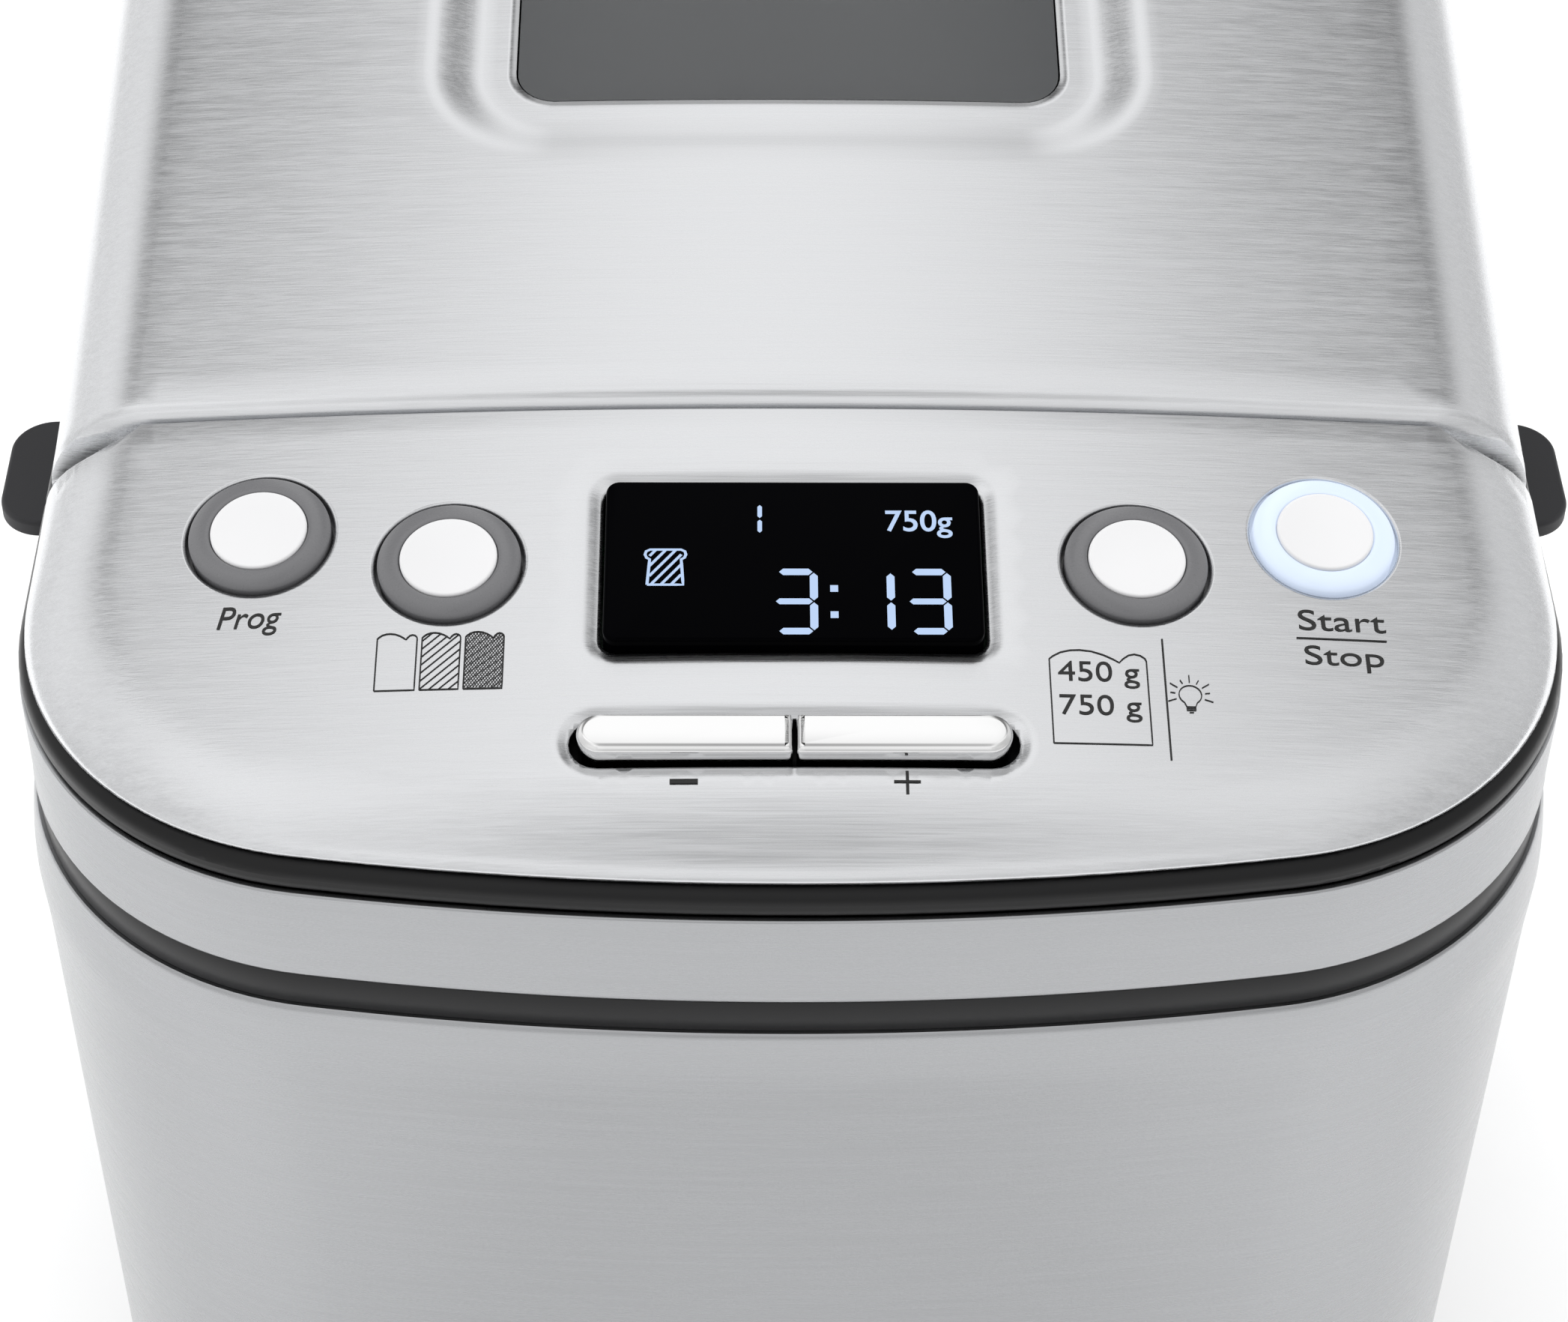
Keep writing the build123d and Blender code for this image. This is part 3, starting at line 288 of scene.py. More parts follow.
def tinted(tree, colour, factor):
    return add(tree, "ShaderNodeMix", {0: 1.0, 6: hex_colour(colour), 7: factor},
               data_type="RGBA", blend_type="MULTIPLY").outputs[2]


def brushed_steel(name, colour, coords, scratches, streaks, rough, contrast=1.0):
    """Metal brushed one way: fine scratches and broader streaks, each with its lengths along the axes.

    The scratches are drawn coarser than real ones, which would be too fine to see."""
    mat, tree = new_material(name)
    where = add(tree, "ShaderNodeTexCoord").outputs[coords]
    fine = stretched(tree, where, scratches, 2.0, 0.6)
    broad = stretched(tree, where, streaks, 3.0, 0.7)
    both = calc(tree, "ADD", fine, broad)
    shade_by = ramp(tree, both, 0.6, 1.4, 1 - 0.1 * contrast, 1 + 0.06 * contrast)
    bump = add(tree, "ShaderNodeBump", {"Height": both, "Strength": 0.16 * contrast, "Distance": 0.06 * MM})
    return close_material(mat, tree, add(tree, "ShaderNodeBsdfPrincipled", {
        "Base Color": tinted(tree, colour, shade_by), "Metallic": 1.0,
        "Roughness": ramp(tree, both, 0.6, 1.4, rough - 0.06, rough + 0.08), "Normal": bump.outputs[0]}))


def moulded(name, colour, rough, grain, depth, coat=0.0, sheen=0.5):
    """Moulded plastic, rubber or paint: even colour, and the fine grain of its tool in millimetres."""
    mat, tree = new_material(name)
    spots = cloudy(tree, grain, 2.0)
    shade_by = ramp(tree, cloudy(tree, 30, 2.0), 0, 1, 0.92, 1.08)
    bump = add(tree, "ShaderNodeBump", {"Height": spots, "Strength": 0.25, "Distance": depth * MM})
    return close_material(mat, tree, add(tree, "ShaderNodeBsdfPrincipled", {
        "Base Color": tinted(tree, colour, shade_by),
        "Roughness": ramp(tree, spots, 0, 1, rough - 0.05, rough + 0.05),
        "IOR": 1.5, "Specular IOR Level": sheen, "Coat Weight": coat, "Coat Roughness": 0.08,
        "Normal": bump.outputs[0]}))


def polished(name, colour, rough):
    """Bright metal: a mirror with faint polishing marks."""
    mat, tree = new_material(name)
    gloss = ramp(tree, cloudy(tree, 4, 3.0), 0, 1, rough * 0.6, rough * 1.4)
    return close_material(mat, tree, add(tree, "ShaderNodeBsdfPrincipled", {
        "Base Color": hex_colour(colour), "Metallic": 1.0, "Roughness": gloss}))


def clear(name, colour, rough, weight):
    """Glass, tinted right through."""
    mat, tree = new_material(name)
    gloss = ramp(tree, cloudy(tree, 60, 1.0), 0, 1, rough * 0.7, rough * 1.3)
    return close_material(mat, tree, add(tree, "ShaderNodeBsdfPrincipled", {
        "Base Color": hex_colour(colour), "Roughness": gloss, "IOR": 1.5, "Transmission Weight": weight}))


def glowing(name, colour, strength, base):
    """Light from behind a diffuser: the same brightness all over but for a soft mottling."""
    mat, tree = new_material(name)
    light = tinted(tree, colour, ramp(tree, cloudy(tree, 5, 1.0), 0, 1, 0.93, 1.05))
    return close_material(mat, tree, add(tree, "ShaderNodeBsdfPrincipled", {
        "Base Color": hex_colour(base), "Roughness": 0.25, "Emission Color": light, "Emission Strength": strength}))


# Cover and lid: bright, with hair-fine scratches across the machine that streak what they reflect.
STEEL_TOP = brushed_steel("brushed_stainless_top", "D8D9DB", "Object", (16, 0.26, 0.26), (50, 1.1, 1.1), 0.26, 1.15)
# Body and upper band: the same sheet, brushed round the machine and calmer. Painted shade: its colour is darker than
# the cover's to stand in for the dim floor that its upright faces reflect.
SHADED_STEEL_WRAP = brushed_steel("brushed_stainless_wrap", "A9AAAC", "UV", (16, 0.26, 1), (50, 1.1, 1), 0.26, 0.6)
# Oven and frame sheet: dull grey with upright roll marks.
STEEL_INNER = brushed_steel("aluminised_steel_sheet", "9C9B98", "Object", (9, 9, 0.8), (30, 30, 5), 0.38)
# Shafts: rings left by the lathe.
STEEL_TURNED = brushed_steel("turned_steel", "A9A8A6", "Object", (3, 3, 0.2), (12, 12, 1), 0.3)
# Bush: warm, soft and without direction, as a sintered part is.
BRONZE = brushed_steel("sintered_bronze", "B08A50", "Object", (2, 2, 2), (8, 8, 8), 0.4)
# Trim: the deepest black, with a soft sheen along its bead.
TRIM_BLACK = moulded("satin_black_abs", "0E0E0F", 0.34, 0.35, 0.02, 0.0, 0.26)
# Lower band: a shade lighter than the trim.
BAND_BLACK = moulded("satin_black_band", "19191A", 0.36, 0.35, 0.02, 0.0, 0.26)
# Side grips: matt, with a grain that can be felt.
GRIP_BLACK = moulded("matt_grip_polyamide", "29292B", 0.55, 0.25, 0.05, 0.0, 0.3)
# Base, lid liner and inner mouldings: plain dark plastic with a coarse grain.
BASE_BLACK = moulded("black_polypropylene", "29292A", 0.5, 0.4, 0.04)
# Feet and belt: black without any shine.
RUBBER = moulded("black_rubber", "1B1B1B", 0.75, 0.3, 0.05)
# Gaskets: a soft mid grey line.
SILICONE = moulded("grey_silicone", "8C8C8E", 0.6, 0.5, 0.02)
# Button caps: flat white discs.
CAP_WHITE = moulded("matt_white_cap", "CFCFD0", 0.5, 0.25, 0.01)
# Unlit button rings: smoky grey with a soft highlight on the curve.
RING_GREY = moulded("smoky_acrylic_ring", "636365", 0.28, 0.8, 0.005, 0.15, 0.4)
# Circuit boards: green lacquer with a thin gloss.
BOARD_GREEN = moulded("solder_resist", "1F5A38", 0.3, 0.6, 0.02, 0.3)
# Display cover: black glass-smooth plastic that hardly reflects.
LENS_BLACK = moulded("black_acrylic_lens", "020203", 0.07, 3.0, 0.002, 0.0, 0.01)
# Printing on the cover: flat black ink.
INK = moulded("screen_printed_ink", "141414", 0.5, 0.1, 0.003)
# Pan and paddle: dark coating with a slight orange-peel shine.
PAN_COAT = moulded("non_stick_coating", "3A3A3C", 0.38, 0.5, 0.04, 0.2)
# Heater and sensor: steel browned by heat.
HEATER_DARK = moulded("heat_darkened_sheath", "4A4540", 0.42, 0.6, 0.04)
# Keys: near mirrors.
KEY_CHROME = polished("chromed_abs", "E2E2E2", 0.09)
# Bail handle, screws and pins: bright wire, a little duller than the keys.
WIRE_CHROME = polished("chromed_wire", "C8C8C8", 0.14)
# Window: dark grey glass that still shows the oven's gloom.
WINDOW_SMOKE = clear("smoked_tempered_glass", "4C4E50", 0.03, 0.55)
# Oven lamp: clear, very slightly warm.
LAMP_CLEAR = clear("lamp_glass", "F2EEDC", 0.08, 0.9)
# Start button's ring: cool white, lit from inside.
RING_LIT = glowing("lit_acrylic_ring", "D6E2F6", 0.55, "98A2B0")
# Figures in the display: pale blue light out of the black.
SEGMENT_GLOW = glowing("display_segment", "B9D1F4", 1.0, "05070A")


# ---- mesh helpers ------------
def link(obj):
    bpy.context.scene.collection.objects.link(obj)
    return obj


def mesh_object(name, verts, faces, material, smooth_angle=None, uv=None, flip=True, uv_round=0.0):
    """Object with its place in its mesh, from points in millimetres; uv_round closes a wrapped UV."""
    mesh = bpy.data.meshes.new(name)
    mesh.from_pydata([tuple(c * MM for c in v) for v in verts], [], faces)
    if uv:
        layer = mesh.uv_layers.new(name="UVMap")
        for polygon in mesh.polygons:
            far = max(uv[v][0] for v in polygon.vertices)
            for index in polygon.loop_indices:
                u, v = uv[mesh.loops[index].vertex_index]
                layer.data[index].uv = (u + uv_round if far - u > uv_round / 2 else u, v)
    if flip:
        point_outward(mesh)
    mesh.materials.append(material)
    shade(mesh, smooth_angle)
    return link(bpy.data.objects.new(name, mesh))


@contextmanager
def editing(mesh):
    """A mesh opened for editing, then written back."""
    work = bmesh.new()
    work.from_mesh(mesh)
    yield work
    work.to_mesh(mesh)
    work.free()


def point_outward(mesh):
    with editing(mesh) as work:
        bmesh.ops.recalc_face_normals(work, faces=work.faces)


def shade(mesh, angle):
    """Smooth shading, with edges sharper than an angle kept crisp."""
    mesh.polygons.foreach_set("use_smooth", [True] * len(mesh.polygons))
    if angle is not None:
        mesh.set_sharp_from_angle(angle=math.radians(angle))
    mesh.update()


def apply_modifiers(obj):
    """The evaluated mesh takes the place of the mesh and its modifiers."""
    bpy.context.view_layer.update()
    made = bpy.data.meshes.new_from_object(obj.evaluated_get(bpy.context.evaluated_depsgraph_get()))
    obj.modifiers.clear()
    obj.data = made
    return obj


def thicken(obj, thickness):
    wall = obj.modifiers.new("wall", "SOLIDIFY")
    wall.thickness = thickness * MM
    wall.offset = -1.0
    wall.use_even_offset = True
    return apply_modifiers(obj)


def sweep_ring(name, profile, material, smooth_angle=35):
    """A closed profile of (offset, height) carried round the plan outline."""
    points = OUTLINE
    rows, count = len(profile), len(points)
    verts, uv = [], []
    around = 0.0
    last = points[0]
    for x, y, nx, ny in points:
        around += math.hypot(x - last[0], y - last[1])
        last = (x, y)
        for offset, z in profile:
            verts.append((x + nx * offset, y + ny * offset, z))
            uv.append((around * MM, z * MM))
    faces = []
    for i in range(count):
        for j in range(rows):
            a, b = i * rows + j, i * rows + (j + 1) % rows
            c, d = (i + 1) % count * rows + (j + 1) % rows, (i + 1) % count * rows + j
            faces.append((a, b, c, d))
    around += math.hypot(points[0][0] - last[0], points[0][1] - last[1])
    return mesh_object(name, verts, faces, material, smooth_angle, uv, uv_round=around * MM)


def skin_rings(edge_y, side):
    """Rings of points down the rolled shoulder, from its foot to its inner line, on one side of the seam."""
    steps = 12
    rings = [[] for _ in range(steps + 1)]
    for x, y, nx, ny in OUTLINE:
        for j in range(steps + 1):
            turn = math.pi / 2 * j / steps
            offset = -(SKIN_INSET + SHOULDER_R * (1 - math.cos(turn)))
            px, py = x + nx * offset, y + ny * offset
            if (py - edge_y) * side > 0.05:
                rings[j].append((px, py))
    return rings


def seam_points(edge_y, side, lip_r, rings):
    """Points along the seam and down its rolled lip."""
    points = []
    for s in (0.0, 0.08, 0.3, 0.62, 1.0):
        y = edge_y + side * lip_r * s
        for k in range(-52, 53):
            x = k * 2.0
            if inset_of(x, y) > SKIN_INSET + SHOULDER_R:
                points.append((x, y))
        for j in range(len(rings)):
            near = [p for p in rings[j] if abs(p[1] - y) < 4]
            for sign in (-1, 1):
                options = [p for p in near if p[0] * sign > 0]
                if options:
                    closest = min(options, key=lambda p: abs(p[1] - y))
                    points.append((closest[0], y))
    return points


def loop_points(half_x, half_y, r, cx, cy, grow=0.0, spacing=1.2):
    """Points round a rounded rectangle."""
    hx, hy, rr = half_x + grow, half_y + grow, max(r + grow, 0.01)
    points = []
    for sx, sy, start in ((1, -1, -90), (1, 1, 0), (-1, 1, 90), (-1, -1, 180)):
        ax, ay = cx + sx * (hx - rr), cy + sy * (hy - rr)
        count = max(4, int(rr * math.pi / 2 / spacing))
        for k in range(count + 1):
            a = math.radians(start + 90 * k / count)
            points.append((ax + rr * math.cos(a), ay + rr * math.sin(a)))
    return densify(points, spacing * 2)


def densify(points, spacing, closed=True):
    made = []
    for a, b in zip(points, points[1:] + points[:1] if closed else points[1:]):
        count = max(1, round(math.hypot(b[0] - a[0], b[1] - a[1]) / spacing))
        made += [(a[0] + (b[0] - a[0]) * k / count, a[1] + (b[1] - a[1]) * k / count) for k in range(count)]
    return made if closed else made + [points[-1]]


def skin_sheet(name, material, edge_y, side, lip_r, height, holes, spacing):
    """Sheet metal skin on one side of the seam: shoulder rings, seam lip, holes and an even inner grid."""
    rings = skin_rings(edge_y, side)
    outer = list(rings[0])
    free = [p for ring in rings[1:] for p in ring]
    seam = seam_points(edge_y, side, lip_r, rings)
    points = outer + free + seam
    edges = []
    for hole in holes:
        base = len(points)
        points += hole["loop"]
        edges += [(base + k, base + (k + 1) % len(hole["loop"])) for k in range(len(hole["loop"]))]
        points += hole["rings"]
    occupied = {}
    cell = spacing * 0.5
    for px, py in points:
        occupied.setdefault((int(px // cell), int(py // cell)), True)
    steps_x = int(HALF_WIDTH / spacing) + 1
    low, high = (FRONT_Y, edge_y) if side < 0 else (edge_y, REAR_Y)
    for row in range(int((high - low) / spacing) + 1):
        for col in range(-steps_x, steps_x + 1):
            x, y = (col + 0.5 * (row % 2)) * spacing, low + row * spacing
            if inset_of(x, y) < SKIN_INSET + SHOULDER_R + 0.5 or (y - edge_y) * side < lip_r + 0.7:
                continue
            if any(hole["distance"](x, y) < hole["margin"] for hole in holes):
                continue
            i, j = int(x // cell), int(y // cell)
            if any((i + di, j + dj) in occupied for di in (-1, 0, 1) for dj in (-1, 0, 1)):
                continue
            points.append((x, y))
    flat, _, faces, _, _, _ = delaunay_2d_cdt([Vector(p) for p in points], edges, [], 0, 1e-4)
    verts = [(v.x, v.y, height(v.x, v.y)) for v in flat]
    kept = []
    for face in faces:
        cx = sum(verts[i][0] for i in face) / len(face)
        cy = sum(verts[i][1] for i in face) / len(face)
        if all(hole["distance"](cx, cy) > 0 for hole in holes):
            kept.append(tuple(face))
    obj = mesh_object(name, verts, kept, material, None, flip=False)
    drop_edge(obj.data, [hole["distance"] for hole in holes])
    return thicken(obj, SKIN)


def drop_edge(mesh, hole_distances):
    """Takes the outer edge of a skin straight down to its foot."""
    with editing(mesh) as work:
        for face in work.faces:
            if face.normal.z < 0:
                face.normal_flip()
        rim = []
        for edge in work.edges:
            if not edge.is_boundary:
                continue
            middle = (edge.verts[0].co + edge.verts[1].co) / 2 / MM
            if all(abs(d(middle.x, middle.y)) > 0.5 for d in hole_distances):
                rim.append(edge)
        made = bmesh.ops.extrude_edge_only(work, edges=rim)
        for vert in [g for g in made["geom"] if isinstance(g, bmesh.types.BMVert)]:
            vert.co.z = min(vert.co.z, SKIN_FOOT * MM)
        bmesh.ops.dissolve_degenerate(work, dist=0.02 * MM, edges=work.edges)
        bmesh.ops.remove_doubles(work, verts=work.verts, dist=0.01 * MM)
        bmesh.ops.recalc_face_normals(work, faces=work.faces)
    shade(mesh, 50)


def round_hole(cx, cy, r):
    loop = [(cx + r * math.cos(math.radians(a)), cy + r * math.sin(math.radians(a))) for a in range(0, 360, 5)]
    rings = [(cx + (r + g) * math.cos(math.radians(a)), cy + (r + g) * math.sin(math.radians(a)))
             for g in (0.5, 1.2) for a in range(0, 360, 6)]
    return {"loop": loop, "rings": rings, "margin": 2.0,
            "distance": lambda x, y: math.hypot(x - cx, y - cy) - r}


def box_hole(half_x, half_y, r, cy, grows, margin):
    rings = [p for g in grows for p in loop_points(half_x, half_y, r, 0, cy, g)]
    return {"loop": loop_points(half_x, half_y, r, 0, cy), "rings": rings, "margin": margin,
            "distance": lambda x, y: box_distance(x, y - cy, half_x, half_y, r)}


def turned(name, profile, material, matrix, steps=64, smooth_angle=35):
    """A profile of (radius, height) turned about the local Z axis."""
    verts, faces = [], []
    rows = len(profile)
    for i in range(steps):
        a = 2 * math.pi * i / steps
        for r, z in profile:
            verts.append(matrix @ Vector((r * math.cos(a), r * math.sin(a), z)))
    for i in range(steps):
        k = (i + 1) % steps
        for j in range(rows - 1):
            faces.append((i * rows + j, k * rows + j, k * rows + j + 1, i * rows + j + 1))
    obj = mesh_object(name, verts, faces, material, None, flip=False)
    with editing(obj.data) as work:
        bmesh.ops.remove_doubles(work, verts=work.verts, dist=0.001 * MM)
        bmesh.ops.recalc_face_normals(work, faces=work.faces)
    shade(obj.data, smooth_angle)
    return obj


def slab(name, loop, z0, z1, edge_r, material, matrix, smooth_angle=40, steps=4):
    """A closed outline raised to a slab whose top edge is rounded."""
    count = len(loop)
    rows = [(0.0, z0)] + [(edge_r * (1 - math.cos(t)), z1 - edge_r * (1 - math.sin(t)))
                          for t in [math.pi / 2 * k / steps for k in range(steps + 1)]]
    verts, faces = [], []
    normals = loop_normals(loop)
    for inset, z in rows:
        for (x, y), n in zip(loop, normals):
            verts.append(matrix @ Vector((x - n.x * inset, y - n.y * inset, z)))
    for j in range(len(rows) - 1):
        for i in range(count):
            k = (i + 1) % count
            faces.append((j * count + i, j * count + k, (j + 1) * count + k, (j + 1) * count + i))
    last = (len(rows) - 1) * count
    faces.append(tuple(range(last, last + count)))
    faces.append(tuple(reversed(range(count))))
    return mesh_object(name, verts, faces, material, smooth_angle)


def loop_normals(loop):
    normals = []
    for i in range(len(loop)):
        a, b = Vector(loop[i - 1]), Vector(loop[(i + 1) % len(loop)])
        d = (b - a).normalized()
        normals.append(Vector((d.y, -d.x)))
    return normals


def place(obj, body, *nodes):
    """The piece rides on its body and stands for its CAD nodes."""
    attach(obj, body)
    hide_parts(*nodes)


# ---- geometry node trees ------------
def new_tree(name, *inputs):
    """Node group with a mesh in, named inputs for its sizes and a mesh out."""
    tree = bpy.data.node_groups.new(name, "GeometryNodeTree")
    tree.interface.new_socket("Mesh", in_out="INPUT", socket_type="NodeSocketGeometry")
    for label, kind, value in inputs:
        socket = tree.interface.new_socket(label, in_out="INPUT", socket_type=kind)
        if value is not None:
            socket.default_value = value
    tree.interface.new_socket("Mesh", in_out="OUTPUT", socket_type="NodeSocketGeometry")
    return tree, add(tree, "NodeGroupInput").outputs


def close_tree(tree, mesh, material):
    real = add(tree, "GeometryNodeRealizeInstances", {"Geometry": mesh})
    coat = add(tree, "GeometryNodeSetMaterial", {"Geometry": real.outputs[0], "Material": material})
    add(tree, "NodeGroupOutput", {0: coat.outputs[0]})
    return tree


def grown(obj, tree, **values):
    """Runs a tree on an object, with its inputs set by name, and bakes the result."""
    modifier = obj.modifiers.new(tree.name, "NODES")
    modifier.node_group = tree
    sockets = {i.name.replace(" ", "_").lower(): i.identifier for i in tree.interface.items_tree
               if i.in_out == "INPUT"}
    for key, value in values.items():
        modifier[sockets[key]] = value
    return apply_modifiers(obj)


LENGTH = "NodeSocketFloat"


def line_tree():
    """Ribbon of ink or light along the edges of a mesh that lies on a surface."""
    tree, given = new_tree("drawn_lines", ("Width", LENGTH, 0.0003), ("Thickness", LENGTH, 0.00004),
                           ("Material", "NodeSocketMaterial", None))
    path = add(tree, "GeometryNodeMeshToCurve", {"Mesh": given["Mesh"]})
    level = add(tree, "GeometryNodeSetCurveNormal", {"Curve": path.outputs[0]}, mode="Z_UP")
    section = add(tree, "GeometryNodeCurvePrimitiveQuadrilateral",
                  {"Width": given["Width"], "Height": given["Thickness"]})
    ribbon = add(tree, "GeometryNodeCurveToMesh",
                 {"Curve": level.outputs[0], "Profile Curve": section.outputs[0], "Fill Caps": True})
    return close_tree(tree, ribbon.outputs[0], given["Material"])


def slot_tree():
    """A row of round-ended slots punched through a sheet."""
    tree, given = new_tree("punched_slots", ("Count", "NodeSocketInt", 9), ("Pitch", LENGTH, 0.01),
                           ("Slot Width", LENGTH, 0.0032), ("Slot Height", LENGTH, 0.04),
                           ("Middle", "NodeSocketVector", None), ("Depth", LENGTH, 0.012),
                           ("Material", "NodeSocketMaterial", None))
    shape = add(tree, "GeometryNodeCurvePrimitiveQuadrilateral",
                {"Width": given["Slot Width"], "Height": given["Slot Height"]})
    radius = calc(tree, "MULTIPLY", given["Slot Width"], 0.499)
    ends = add(tree, "GeometryNodeFilletCurve",
               {"Curve": shape.outputs[0], "Count": 6, "Radius": radius}, mode="POLY")
    area = add(tree, "GeometryNodeFillCurve", {"Curve": ends.outputs[0]}, mode="NGONS")
    punch = add(tree, "GeometryNodeExtrudeMesh",
                {"Mesh": area.outputs[0], "Offset Scale": given["Depth"], "Individual": False})
    both = add(tree, "GeometryNodeJoinGeometry")
    back = add(tree, "GeometryNodeFlipFaces", {"Mesh": area.outputs[0]})
    tree.links.new(punch.outputs[0], both.inputs[0])
    tree.links.new(back.outputs[0], both.inputs[0])
    closed = add(tree, "GeometryNodeMergeByDistance", {"Geometry": both.outputs[0], "Distance": 1e-6})
    upright = add(tree, "GeometryNodeTransform",
                  {"Geometry": closed.outputs[0], "Rotation": (math.pi / 2, 0, 0)})
    span = calc(tree, "MULTIPLY", calc(tree, "SUBTRACT", given["Count"], 1.0), given["Pitch"])
    first = add(tree, "ShaderNodeCombineXYZ", {"X": calc(tree, "MULTIPLY", span, -0.5)})
    start = add(tree, "ShaderNodeVectorMath", {0: first.outputs[0], 1: given["Middle"]}, operation="ADD")
    step = add(tree, "ShaderNodeCombineXYZ", {"X": given["Pitch"]})
    row = add(tree, "GeometryNodeMeshLine",
              {"Count": given["Count"], "Start Location": start.outputs[0], "Offset": step.outputs[0]})
    punches = add(tree, "GeometryNodeInstanceOnPoints",
                  {"Points": row.outputs[0], "Instance": upright.outputs[0]})
    real = add(tree, "GeometryNodeRealizeInstances", {"Geometry": punches.outputs[0]})
    cut = add(tree, "GeometryNodeMeshBoolean", {"Mesh 1": given["Mesh"], "Mesh 2": real.outputs[0]},
              operation="DIFFERENCE", solver="EXACT")
    return close_tree(tree, cut.outputs[0], given["Material"])


DRAWN_LINES = line_tree()
SLOTS = slot_tree()


# ---- steel skins ------------
def make_control_cover():
    holes = [round_hole(x, y, BUTTON_HOLE_R) for x, y in ROUND_BUTTONS.values()]
    half_x, half_y = DISPLAY_HALF
    holes.append(box_hole(half_x + 0.4, half_y + 0.4, 2.2, DISPLAY_Y, (0.5, 1.1, 1.8, 2.6), 3.2))
    holes.append(box_hole(*KEY_POCKET_HALF, KEY_POCKET_HALF[1] - 0.01, KEY_POCKET_Y, (0.3, 0.7, 1.2, 1.8, 2.6), 3.4))
    cover = skin_sheet("control_cover_skin", STEEL_TOP, COVER_EDGE, -1, COVER_LIP_R, cover_z, holes, 3.0)
    place(cover, "housing", "control_cover")


def make_lid_skin():
    hole = box_hole(WINDOW_HALF[0] + 0.3, WINDOW_HALF[1] + 0.3, WINDOW_R + 0.3, WINDOW_Y,
                    (1.5, 3.2, 5, 6, 7.2, 8.4, 9.6, 10.8, 12, 13.2, 14.5, 16), 17.5)
    lid = skin_sheet("lid_skin_sheet", STEEL_TOP, LID_EDGE, 1, LID_LIP_R, lid_z, [hole], 4.0)
    place(lid, "lid", "lid_skin")


def make_body_shell():
    rows = 8
    z_waist, out_waist = BODY_WAIST
    profile = [(-8.9, BODY_FOOT_Z), (-1.4, BODY_FOOT_Z), (-0.95, BODY_FOOT_Z + 0.2)]
    profile += [(BODY_OUT_FOOT + (out_waist - BODY_OUT_FOOT) * k / rows,
                 BODY_FOOT_Z + 0.8 + (z_waist - BODY_FOOT_Z - 0.8) * k / rows) for k in range(rows + 1)]
    profile += [(1.62, 197.0), (1.85, 201.0), (1.98, 204.5), (1.8, 208.0), (1.42, 211.5), (1.08, 213.9),
                (0.9, 214.7), (0.6, BODY_TOP_Z), (0.0, BODY_TOP_Z)]
    profile += [(-0.1, 213.8), (1.0, 204.0), (0.5, z_waist), (BODY_OUT_FOOT - 1, BODY_FOOT_Z + 1.2),
                (-8.9, BODY_FOOT_Z + 1.2)]
    shell = sweep_ring("wrapped_body_shell", profile, SHADED_STEEL_WRAP, smooth_angle=35)
    grown(shell, SLOTS, count=9, pitch=10 * MM, slot_width=3.2 * MM, slot_height=40 * MM,
          middle=(0, (REAR_Y + 8) * MM, VENT_Z * MM), depth=14 * MM, material=SHADED_STEEL_WRAP)
    punch = turned("gland_punch", [(0, -8), (8.1, -8), (8.1, 8), (0, 8)], SHADED_STEEL_WRAP,
                   Matrix.Translation((GLAND_X, REAR_Y, GLAND_Z)) @ Matrix.Rotation(math.pi / 2, 4, "X"))
    cut = shell.modifiers.new("gland", "BOOLEAN")
    cut.object = punch
    cut.solver = "EXACT"
    apply_modifiers(shell)
    bpy.data.objects.remove(punch)
    shade(shell.data, 35)
    place(shell, "housing", "body_shell")


def make_upper_band():
    z0, z1 = UPPER_BAND_LOW, UPPER_BAND_HIGH
    profile = [(-0.6, z0), (0.1, z0), (0.3, z0 + 0.1), (0.42, z0 + 0.45), (0.38, z0 + 0.9), (0.3, z0 + 1.4),
               (0.3, z1 - 0.4), (0.2, z1 - 0.1), (0.0, z1), (-0.6, z1)]
    band = sweep_ring("wrapped_upper_band", profile, SHADED_STEEL_WRAP, smooth_angle=50)
    place(band, "housing", "upper_band")


def make_lower_band():
    z0, z1 = BODY_TOP_Z, LOWER_BAND_TOP
    profile = [(-1.4, z0), (0.0, z0), (0.1, z0 + 0.15), (0.1, z1 - 0.3), (0.0, z1 - 0.08), (-0.2, z1), (-1.4, z1)]
    band = sweep_ring("lower_band_ring", profile, BAND_BLACK, smooth_angle=50)
    place(band, "housing", "lower_band")


# ---- display, keys and buttons ------------
LENS_FRAME = cover_matrix(0, DISPLAY_Y)
LENS_TILT = math.atan(SLOPE)


def on_lens(x, y, up=0.02):
    """A point on the lens face, given its plan position."""
    w = DISPLAY_PROUD + up
    v = (y - DISPLAY_Y + w * math.sin(LENS_TILT)) / math.cos(LENS_TILT)
    return LENS_FRAME @ Vector((x, v, w))


def on_skin(x, y, up=0.09):
    """A point on the control cover, or just above it along its normal."""
    step = 0.2
    dx = (cover_z(x + step, y) - cover_z(x - step, y)) / (2 * step)
    dy = (cover_z(x, y + step) - cover_z(x, y - step)) / (2 * step)
    return Vector((x, y, cover_z(x, y))) + Vector((-dx, -dy, 1)).normalized() * up


def filled(name, loops, surface, material):
    """Flat shapes laid on a surface, each a loop of plan points."""
    verts, faces = [], []
    for loop in loops:
        base = len(verts)
        verts += [surface(x, y) for x, y in loop]
        faces.append(tuple(range(base, base + len(loop))))
    obj = mesh_object(name, verts, faces, material, None, flip=False)
    for polygon in obj.data.polygons:
        if polygon.normal.z < 0:
            polygon.flip()
    return obj


